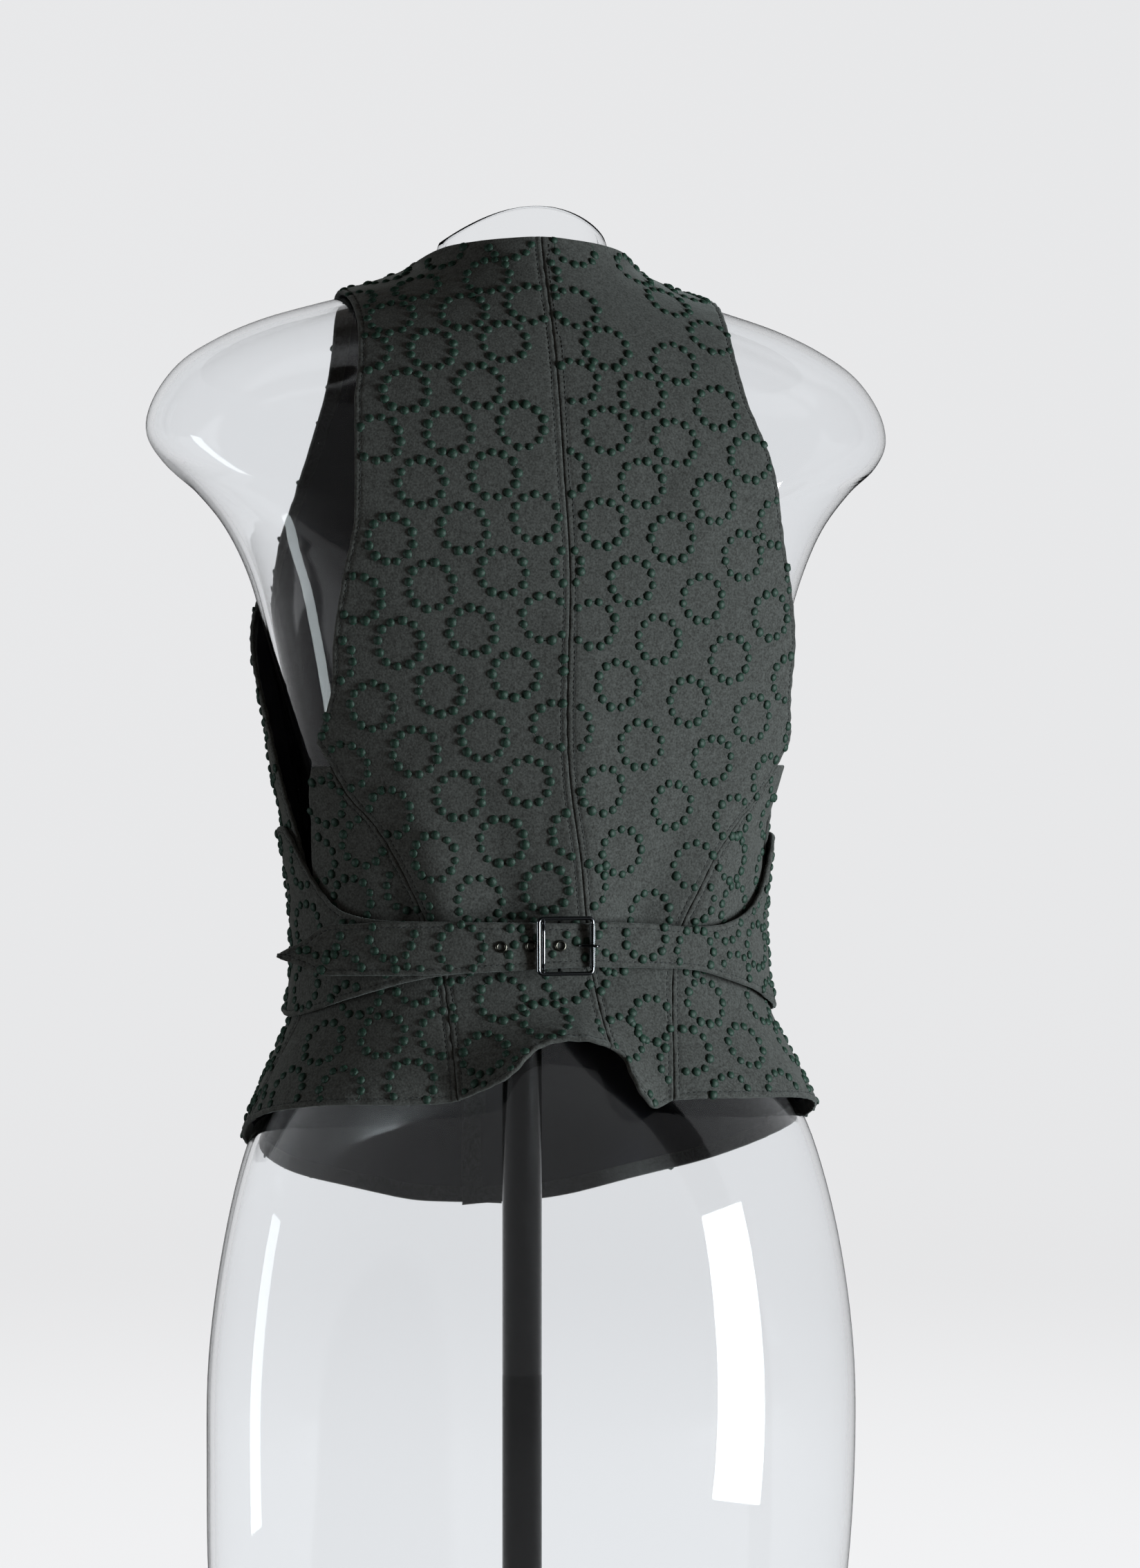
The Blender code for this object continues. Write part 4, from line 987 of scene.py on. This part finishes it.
# Every look: its material, colour, roughness and metal, its nap if it has one, and the shader's other inputs.
# A nap is its dark and light colour, its fine and broad noise, and the raised grain's height and strength.
LOOK_TABLE = {
    "wool": ("charcoal_wool", (0.045, 0.048, 0.047), 0.95, 0.0,
             ((0.028, 0.028, 0.026), (0.078, 0.081, 0.077), 900.0, 330.0, 0.0005, 0.6),
             {"Sheen Weight": 0.20, "Sheen Roughness": 0.45, "Sheen Tint": (0.75, 0.82, 0.80, 1),
              "Specular IOR Level": 0.2}),
    # The cloth's inner face past the facing: a near-black colour, mostly painted shade of the garment's
    # hollow inside, with a slightly darker, bluer tone of its own
    "inside_shade": ("inside_painted_shade", (0.009, 0.009, 0.014), 0.80, 0.0,
               ((0.007, 0.007, 0.011), (0.012, 0.012, 0.018), 1500.0, 300.0, 0.0001, 0.2),
               {"Specular IOR Level": 0.08}),
    "green": ("green_knots", (0.006, 0.036, 0.020), 0.62, 0.0,
              ((0.002, 0.012, 0.007), (0.007, 0.043, 0.024), 1400.0, 400.0, 0.0003, 0.6),
              {"Sheen Weight": 0.06, "Sheen Tint": (0.45, 0.80, 0.62, 1)}),
    "thread": ("charcoal_thread", (0.022, 0.024, 0.024), 0.7, 0.0, None, {}),
    "gunmetal": ("gunmetal", (0.20, 0.20, 0.21), 0.24, 1.0, None, {}),
    "brass": ("antique_brass", (0.13, 0.12, 0.10), 0.30, 1.0, None, {}),
    "horn": ("horn", (0.022, 0.023, 0.023), 0.30, 0.0, None, {}),
    "enamel": ("black_enamel", (0.004, 0.004, 0.0045), 0.16, 0.0, None, {"Specular IOR Level": 0.22}),
    "clear": ("clear_plastic", (0.96, 0.97, 0.98), 0.03, 0.0, None,
              {"Transmission Weight": 1.0, "IOR": 1.33}),
}


def make_looks():
    looks = {}
    for look, (name, colour, roughness, metallic, nap, others) in LOOK_TABLE.items():
        looks[look], shader = new_material(name, colour, roughness, metallic)
        if nap:
            add_nap(looks[look], shader, *nap)
        for socket, number in others.items():
            value(shader, socket, number)
    return looks


# Which edges of each piece are stitched, its ring pattern, and its cut: width, length and hold. A pattern is
# the two steps from ring to ring, across and down in millimetres, and the rings with known places: their
# step numbers, and millimetres across from the first column and down from the top.
FRONT_PIECE = (("left", "right", "bottom"), (((39.0, 2.0), (21.0, 29.0)), ((0, 0, 30.0, 60.0),)),
               (0.28, 0.58), "hung")
PIECES = {
    "back_centre_left": (("left", "right", "bottom"), (((-38.6, 1.2), (-21.9, 27.0)), (
        (-2, 3, 97.1, 304.7), (-2, 4, 77.1, 333.4), (-2, 5, 57.2, 359.8), (-1, 1, 105.3, 244.7),
        (-1, 2, 81.7, 274.9), (-1, 3, 59.1, 304.8), (-1, 4, 39.3, 335.0), (-1, 5, 19.3, 364.0),
        (0, -1, 113.0, 189.4), (0, 0, 91.0, 216.3), (0, 1, 68.1, 246.0), (0, 2, 44.4, 276.0),
        (0, 3, 22.2, 304.7), (1, -2, 94.4, 162.9), (1, -1, 73.8, 191.5), (1, 0, 51.5, 219.3),
        (1, 1, 28.0, 246.6), (2, -4, 97.8, 118.9), (2, -3, 75.8, 142.5), (2, -2, 54.8, 167.3),
        (2, -1, 35.3, 192.9), (2, 0, 13.1, 219.2), (3, -6, 102.8, 73.0), (3, -5, 81.8, 100.0),
        (3, -4, 59.4, 123.0), (3, -3, 37.0, 144.5), (3, -2, 16.3, 167.2), (4, -7, 88.9, 57.1),
        (4, -6, 66.3, 82.2), (4, -5, 42.0, 99.5), (4, -4, 20.9, 119.5), (5, -8, 73.9, 40.5),
        (5, -7, 47.2, 57.1), (5, -6, 26.3, 72.2), (6, -9, 53.8, 6.1), (6, -8, 30.9, 27.7),
        (6, -7, 10.3, 46.0), (7, -9, 16.6, 1.9))), (0.15, 0.485), "hung"),
    "back_centre_right": (("left", "right", "bottom"), (((42.3, 1.8), (24.7, -25.0)), (
        (-6, 9, 18.5, 5.4), (-5, 7, 14.1, 48.0), (-5, 9, 60.2, 19.0), (-4, 5, 10.0, 93.7),
        (-4, 6, 28.6, 74.7), (-4, 8, 76.7, 47.4), (-3, 4, 24.6, 121.1), (-3, 5, 46.3, 102.3),
        (-3, 6, 67.7, 86.7), (-3, 7, 95.8, 62.8), (-2, 2, 19.9, 169.6), (-2, 3, 42.5, 147.1),
        (-2, 4, 62.8, 126.0), (-2, 5, 89.5, 104.4), (-1, 0, 13.2, 222.7), (-1, 1, 34.4, 196.8),
        (-1, 2, 58.6, 171.4), (-1, 3, 84.4, 147.9), (-1, 4, 108.0, 124.0), (0, -1, 28.0, 251.7),
        (0, 0, 50.9, 223.6), (0, 1, 76.8, 197.7), (0, 2, 103.0, 169.8), (1, -3, 17.3, 309.1),
        (1, -2, 42.6, 279.8), (1, -1, 71.3, 251.6), (1, 0, 95.7, 223.8), (1, 1, 121.9, 197.1),
        (2, -4, 26.3, 338.2), (2, -3, 62.5, 306.1), (2, -2, 89.4, 277.4), (2, -1, 114.4, 251.3),
        (3, -4, 75.6, 335.9), (3, -3, 103.5, 307.5))), (0.165, 0.5), "hung"),
    "back_side_left": (("left", "bottom"), (((-34.2, -1.7), (-10.4, 26.5)), (
        (0, 0, 16.8, 21.5), (0, 1, 12.9, 49.0), (-1, 1, 45.5, 56.4), (-1, 2, 35.9, 82.0),
        (-3, 5, 71.0, 162.6), (-2, 5, 36.2, 160.6), (-4, 6, 95.7, 187.4), (-3, 6, 62.1, 189.9),
        (-2, 6, 23.9, 186.5), (-1, 5, 4.2, 160.1), (-2, 4, 46.5, 134.6),
        (-1, 4, 14.5, 130.6))), (0.14, 0.2), "hung"),
    "back_side_right": (("left", "bottom"), (((38.4, -1.2), (20.0, -28.3)), (
        (0, 0, 31.8, 35.3), (0, -1, 12.4, 66.9), (1, -1, 56.1, 73.1), (0, -2, 0.6, 94.1),
        (1, -2, 31.4, 96.1), (2, -4, 21.3, 152.4), (2, -5, 9.5, 180.3), (3, -5, 46.6, 177.8),
        (4, -5, 89.7, 173.5), (3, -6, 33.6, 205.6), (4, -6, 69.7, 204.0))), (0.14, 0.2), "hung"),
    "front_left": FRONT_PIECE,
    "front_right": FRONT_PIECE,
    "belt_left": (("left", "right", "top"), (((14.0, 34.0), (-33.5, 1.5)), (
        (0, 0, 48.7, 100.3),)), (0.115, 0.255), "stretched"),
    "belt_right": (("left", "right", "top", "bottom"), (((-5.0, -38.0), (22.0, -27.0)), (
        (1, 0, 3.0, 151.5), (0, 0, 9.9, 181.1), (0, 1, 33.0, 157.0), (1, 1, 25.6, 126.6),
        (-1, 0, 16.8, 211.9), (-2, 0, 25.4, 248.5), (-3, 0, 34.0, 285.0), (-1, -1, -3.6, 239.5),
        (-2, -1, 5.0, 276.0), (-3, -1, 13.6, 312.6), (-4, -1, 20.6, 349.7), (-5, -1, 21.8, 390.9),
        (-3, -2, -6.8, 340.2), (-4, -2, 0.2, 377.3), (-5, -2, 4.0, 416.0))), (0.115, 0.42), "stretched"),
}


def build_cloth(body):
    sheets = back_sheets(body)
    sheets.update(front_sheets(body))
    sheets["belt_left"] = belt_sheet(BELT_LEFT, body)
    sheets["belt_right"] = belt_sheet(BELT_RIGHT, body)
    for seed, (name, (edges, pattern, flat, held)) in enumerate(PIECES.items(), 1):
        sheet = sheets[name]
        wall, outer = cloth_wall(f"wool_{name}", sheet, edges, 11.0 * seed)
        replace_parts(wall, name)
        surface = Surface(sheet, outer)
        knots = knots_on(f"knots_{name}", surface, pattern, seed)
        stitches = stitches_on(f"stitches_{name}", sheet, outer, edges, seed)


def build_clear_form():
    """The form's shell, finer and in one piece: an outer skin and an inner skin, joined at both rims."""
    steps, sides = 170, 128
    points, faces = ring_surface(0, steps, sides, False)
    points = [Vector(p) for p in points]
    inner = [p - n.normalized() * FORM_WALL for p, n in zip(points, point_normals(points, faces))]
    count = len(points)
    every = faces + [tuple(k + count for k in reversed(face)) for face in faces]
    last = (steps - 1) * sides
    for k in range(sides):
        after = (k + 1) % sides
        every.append((after, k, k + count, after + count))
        every.append((last + k, last + after, last + after + count, last + k + count))
    form = add_points("clear_form", points + inner, every, "clear")
    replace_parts(form, "dress_form_back", "dress_form_front")


def build_stand_looks():
    """The pole with its joint, its collar, and the base plate with a rounded rim."""
    joint_z, ring = 0.332, 0.0003
    profile = [(0.0, BASE_HEIGHT + SEAM_GAP), (POLE_RADIUS, BASE_HEIGHT + SEAM_GAP),
               (POLE_RADIUS, joint_z - 0.0006), (POLE_RADIUS - ring, joint_z),
               (POLE_RADIUS, joint_z + 0.0006), (POLE_RADIUS, POLE_TOP - 0.0015),
               (POLE_RADIUS - 0.0015, POLE_TOP), (0.0, POLE_TOP)]
    pole = turned_piece("pole", profile, (0, 0, 0), (0, 0, 1), 64, "enamel", closed=False)
    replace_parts(pole, "form_pole")
    rim = 0.003
    profile = [(0.0, 0.0), (BASE_RADIUS - 0.001, 0.0), (BASE_RADIUS, 0.001)]
    profile += arc((BASE_RADIUS - rim, BASE_HEIGHT - rim), rim, rim, 0, 90, 6) + [(0.0, BASE_HEIGHT)]
    base = turned_piece("base_plate", profile, (0, 0, 0), (0, 0, 1), 128, "enamel", closed=False)
    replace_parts(base, "form_base")
    bore = POLE_RADIUS + SEAM_GAP
    top = FORM_FLOOR - SEAM_GAP
    low = top - COLLAR_HEIGHT
    profile = [(COLLAR_RADIUS, top), (COLLAR_RADIUS, top - 0.0035), (COLLAR_RADIUS - 0.0012, top - 0.0050),
               (COLLAR_RADIUS - 0.0080, top - 0.0078), (COLLAR_RADIUS - 0.009, top - 0.0090),
               (COLLAR_RADIUS - 0.009, low + 0.0008), (COLLAR_RADIUS - 0.0098, low), (bore, low), (bore, top)]
    collar = turned_piece("collar", profile, (0, 0, 0), (0, 0, 1), 64, "enamel")
    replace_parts(collar, "form_collar")


def metal_over(node, name, line, radii, closed=False, sides=12):
    """A gunmetal wire in place of its solid."""
    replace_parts(wire_piece(name, line, radii, closed, "gunmetal", sides), node)


def build_buckle_looks(body):
    """The buckle, its bars, coil and prong, and the eyelets, each finer over its solid."""
    outside = BUCKLE_OUT - STRAP_OUT
    left, _ = belt_place(BELT_RIGHT, body, BUCKLE_LEFT_X, outside)
    right, _ = belt_place(BELT_RIGHT, body, BUCKLE_RIGHT_X, outside)
    across = left - right
    across.z = 0
    length = across.length
    across.normalize()
    way = Vector((-across.y, across.x, 0))
    up = Vector((0, 0, 1))
    origin = Vector((right.x, right.y, BUCKLE_Z))

    def spot(x_share, height, out=0.0):
        return origin + across * (length * x_share) + up * height + way * out

    def share_of(x):
        return (x - BUCKLE_RIGHT_X) / (BUCKLE_LEFT_X - BUCKLE_RIGHT_X)

    corner = 0.0022
    frame_line = []
    for first, x_side, z_side in ((0, 1, 1), (90, 0, 1), (180, 0, -1), (270, 1, -1)):
        middle = (length - corner if x_side else corner, z_side * (BUCKLE_HALF_HEIGHT - corner))
        for x, z in arc(middle, corner, corner, first, first + 90, 10):
            frame_line.append(origin + across * x + up * z)
    metal_over("buckle_frame", "buckle_frame_wire", frame_line, WIRE_RADIUS, True, 16)
    keeper_end = BUCKLE_HALF_HEIGHT - WIRE_RADIUS - SEAM_GAP
    keeper_line = [spot(share_of(KEEPER_X), keeper_end * k) for k in (-1, -0.5, 0, 0.5, 1)]
    metal_over("buckle_keeper_bar", "buckle_keeper", keeper_line, WIRE_RADIUS * 0.9, sides=16)
    low = PIVOT_OUT - BUCKLE_OUT
    high = -WIRE_RADIUS - PIVOT_RADIUS - SEAM_GAP
    bend = BUCKLE_HALF_HEIGHT - 0.0005
    ends = ((-bend, high), (-bend + 0.0004, low), (bend - 0.0004, low), (bend, high))
    pivot_line = [spot(share_of(PIVOT_X), height, out) for height, out in ends]
    metal_over("buckle_pivot_bar", "buckle_pivot", pivot_line, PIVOT_RADIUS)
    coil_line = []
    turns, wind = 22, 0.00038
    reach = COIL_RADIUS - wind - 0.0002
    coil_end = COIL_HALF_LENGTH - 0.0003
    for step in range(turns * 14 + 1):
        angle = 2 * math.pi * step / 14
        height = coil_end - 2 * coil_end * step / (turns * 14)
        coil_line.append(origin + across * (reach * math.cos(angle)) + way * (reach * math.sin(angle))
                         + up * height)
    metal_over("buckle_coil", "buckle_coil_wire", coil_line, wind, sides=6)
    hole_place, hole_way = belt_place(BELT_RIGHT, body, PRONG_HOLE_X)
    hole = hole_place + hole_way * (CLOTH / 2)
    start = spot(share_of(PIVOT_X - 0.0022), 0, low)
    above = COIL_RADIUS + PRONG_RADIUS + SEAM_GAP
    over, tip = spot(0, 0, above), spot(-0.10, 0, above - 0.0006)
    line = smooth_table((start, hole - way * 0.0024, hole + way * 0.0030, over, tip), 40)
    radii = [PRONG_RADIUS * (1.0 if k < 34 else 1.0 - 0.09 * (k - 33)) for k in range(40)]
    metal_over("buckle_prong", "prong", line, radii)
    for k in range(EYELET_COUNT):
        place, out = belt_place(BELT_RIGHT, body, FIRST_EYELET_X + k * EYELET_PITCH)
        top = CLOTH + SEAM_GAP
        profile = [(EYELET_BARREL, 0.0004), (EYELET_BARREL, top), (EYELET_FLANGE - 0.0001, top)]
        mid, half, rise = (EYELET_BORE + EYELET_FLANGE) / 2, (EYELET_FLANGE - EYELET_BORE) / 2, 0.00062
        profile += arc((mid, top + 0.00012), half, rise, 0, 180, 8)
        profile += [(EYELET_BORE, top - 0.0004), (EYELET_BORE, 0.0004)]
        ring = turned_piece(f"eyelet_ring_{k + 1}", profile, place, out, 40, "brass")
        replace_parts(ring, f"eyelet_{k + 1}")


def build_button_looks():
    """Dished buttons with a rim and crossed sewing threads, placed on their solids."""
    for k in range(BUTTON_COUNT):
        node = f"button_{k + 1}"
        solid = frame["nodes"][node]
        corners = np.array([solid.matrix_world @ v.co for v in solid.data.vertices])
        centre = Vector(corners.mean(axis=0))
        spread = corners - corners.mean(axis=0)
        _, _, axes = np.linalg.svd(spread, full_matrices=False)
        way = Vector(axes[-1])
        if way.y > 0:
            way = -way
        base = centre - way * (BUTTON_HEIGHT / 2)
        r, h = BUTTON_RADIUS, BUTTON_HEIGHT
        profile = [(0.0, 0.0002), (r * 0.80, 0.0), (r * 0.93, 0.0006), (r, 0.0016), (r * 0.995, 0.0026),
                   (r * 0.95, h - 0.0002), (r * 0.88, h), (r * 0.80, h - 0.0003), (r * 0.72, h - 0.0010),
                   (r * 0.5, h - 0.0013), (0.0, h - 0.0013)]
        button = turned_piece(f"horn_{node}", profile, base, way, 56, "horn", closed=False)
        side = way.orthogonal().normalized()
        other = way.cross(side)
        for number, (a, b) in enumerate(((1, 1), (1, -1))):
            start = side * (0.0013 * a) + other * (0.0013 * b)
            points = []
            for step in range(9):
                share = step / 8
                reach = start * (1 - 2 * share)
                points.append(base + way * (h - 0.0011 + 0.0006 * math.sin(math.pi * share)) + reach)
            wire_piece(f"sewing_{k + 1}_{number + 1}", points, 0.00035, False, "thread", 6)
        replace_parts(button, node)


# The camera: where it stands round the object, how far off, how far to the right and how high, and the height
# of what it sees at the object
CAMERA_AZIMUTH = 167.0
CAMERA_DISTANCE = 2.1
CAMERA_RIGHT = 0.02676
CAMERA_Z = 0.66
VIEW_HEIGHT = 0.873
# The paper's glow: from this far before the object to this far behind it, and both strengths
PAPER_GLOW = (-2.0, 0.6, 0.42, 0.78)
# The round paper: its flat floor's radius, the turn up to its wall and the wall's height
PAPER_FLOOR = 3.4
PAPER_TURN = 1.6
PAPER_HEIGHT = 6.0
# Lights: their places to the right, before the object and up; what they aim at, their width and height, power
# and colour, and whether reflections show them
LIGHTS = (
    ("softbox_right", (1.75, 0.80, 0.30), (0, 0, 0.50), (0.50, 1.3), 76, (0.88, 0.97, 1.0), True),
    ("softbox_left", (-1.80, 0.50, 0.30), (0, 0, 0.50), (0.26, 1.2), 11, (0.88, 0.97, 1.0), True),
    ("light_behind", (0.1, -1.7, 1.9), (0, 0, 0.80), (2.4, 1.2), 20, (1, 1, 1), False),
)


def area_light(name, place, aim, size, power, colour, glossy):
    data = bpy.data.lights.new(name, "AREA")
    data.shape = "RECTANGLE"
    data.size, data.size_y = size
    data.energy = power
    data.color = colour
    light = bpy.data.objects.new(name, data)
    light.location = place
    light.rotation_euler = (Vector(aim) - Vector(place)).to_track_quat("-Z", "Y").to_euler()
    light.visible_camera = light.visible_transmission = False
    light.visible_glossy = glossy
    bpy.context.scene.collection.objects.link(light)


def build_studio():
    """A pale round cyclorama, two softboxes, a light behind, and the camera where the photo was taken."""
    angle = math.radians(CAMERA_AZIMUTH)
    right = Vector((math.cos(angle), math.sin(angle), 0))
    ahead = Vector((-math.sin(angle), math.cos(angle), 0))
    up = Vector((0, 0, 1))
    profile = [(0.0, 0.0), (PAPER_FLOOR, 0.0)]
    for step in range(1, 13):
        turn = math.pi / 2 * step / 12
        profile.append((PAPER_FLOOR + PAPER_TURN * math.sin(turn), PAPER_TURN - PAPER_TURN * math.cos(turn)))
    profile.append((PAPER_FLOOR + PAPER_TURN, PAPER_HEIGHT))
    points, faces = [], []
    sides = 96
    for k in range(sides):
        spin = 2 * math.pi * k / sides
        points += [(r * math.cos(spin), r * math.sin(spin), h - 0.0002) for r, h in profile]
    count = len(profile)
    for k in range(sides):
        after = (k + 1) % sides
        for i in range(count - 1):
            faces.append((k * count + i, after * count + i, after * count + i + 1, k * count + i + 1))
    data = bpy.data.meshes.new("cyclorama")
    data.from_pydata(points, [], faces)
    data.shade_smooth()
    paper, shader = new_material("pale_paper", (0.22, 0.22, 0.22), 0.9)
    value(shader, "Specular IOR Level", 0.1)
    value(shader, "Emission Color", (0.965, 0.97, 0.985, 1))
    tree = paper.node_tree
    place = tree.nodes.new("ShaderNodeTexCoord")
    behind = tree.nodes.new("ShaderNodeVectorMath")
    behind.operation = "DOT_PRODUCT"
    behind.inputs[1].default_value = ahead
    glow = tree.nodes.new("ShaderNodeMapRange")
    glow.interpolation_type = "SMOOTHSTEP"
    for socket, number in zip(("From Min", "From Max", "To Min", "To Max"), PAPER_GLOW):
        value(glow, socket, number)
    tree.links.new(place.outputs["Object"], behind.inputs[0])
    tree.links.new(behind.outputs["Value"], glow.inputs["Value"])
    tree.links.new(glow.outputs["Result"], shader.inputs["Emission Strength"])
    data.materials.append(paper)
    floor = bpy.data.objects.new("cyclorama", data)
    bpy.context.scene.collection.objects.link(floor)
    floor.visible_diffuse = floor.visible_glossy = False

    def at(x, depth, z):
        return right * x - ahead * depth + up * z

    for name, spot, *others in LIGHTS:
        area_light(name, at(*spot), *others)
    world = bpy.data.worlds.new("studio")
    world.use_nodes = True
    value(world.node_tree.nodes["Background"], "Color", (1.0, 0.92, 0.85, 1))
    value(world.node_tree.nodes["Background"], "Strength", 0.15)
    world.cycles_visibility.glossy = False
    scene = bpy.context.scene
    scene.world = world
    data = bpy.data.cameras.new("camera")
    data.sensor_fit = "VERTICAL"
    data.sensor_height = 36.0
    data.lens = 36.0 * CAMERA_DISTANCE / VIEW_HEIGHT
    camera = bpy.data.objects.new("camera", data)
    camera.location = at(CAMERA_RIGHT, CAMERA_DISTANCE, CAMERA_Z)
    camera.rotation_euler = ahead.to_track_quat("-Z", "Y").to_euler()
    scene.collection.objects.link(camera)
    scene.camera = camera
    scene.cycles.max_bounces = 12
    scene.cycles.transmission_bounces = 12
    scene.cycles.glossy_bounces = 4
    scene.cycles.diffuse_bounces = 3
    scene.cycles.transparent_max_bounces = 8
    scene.cycles.caustics_reflective = False
    scene.cycles.caustics_refractive = False
    scene.view_settings.view_transform = "Standard"


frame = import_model()
LOOKS = make_looks()
cloth_body = Body()
build_cloth(cloth_body)
build_clear_form()
build_stand_looks()
build_buckle_looks(cloth_body)
build_button_looks()
build_studio()
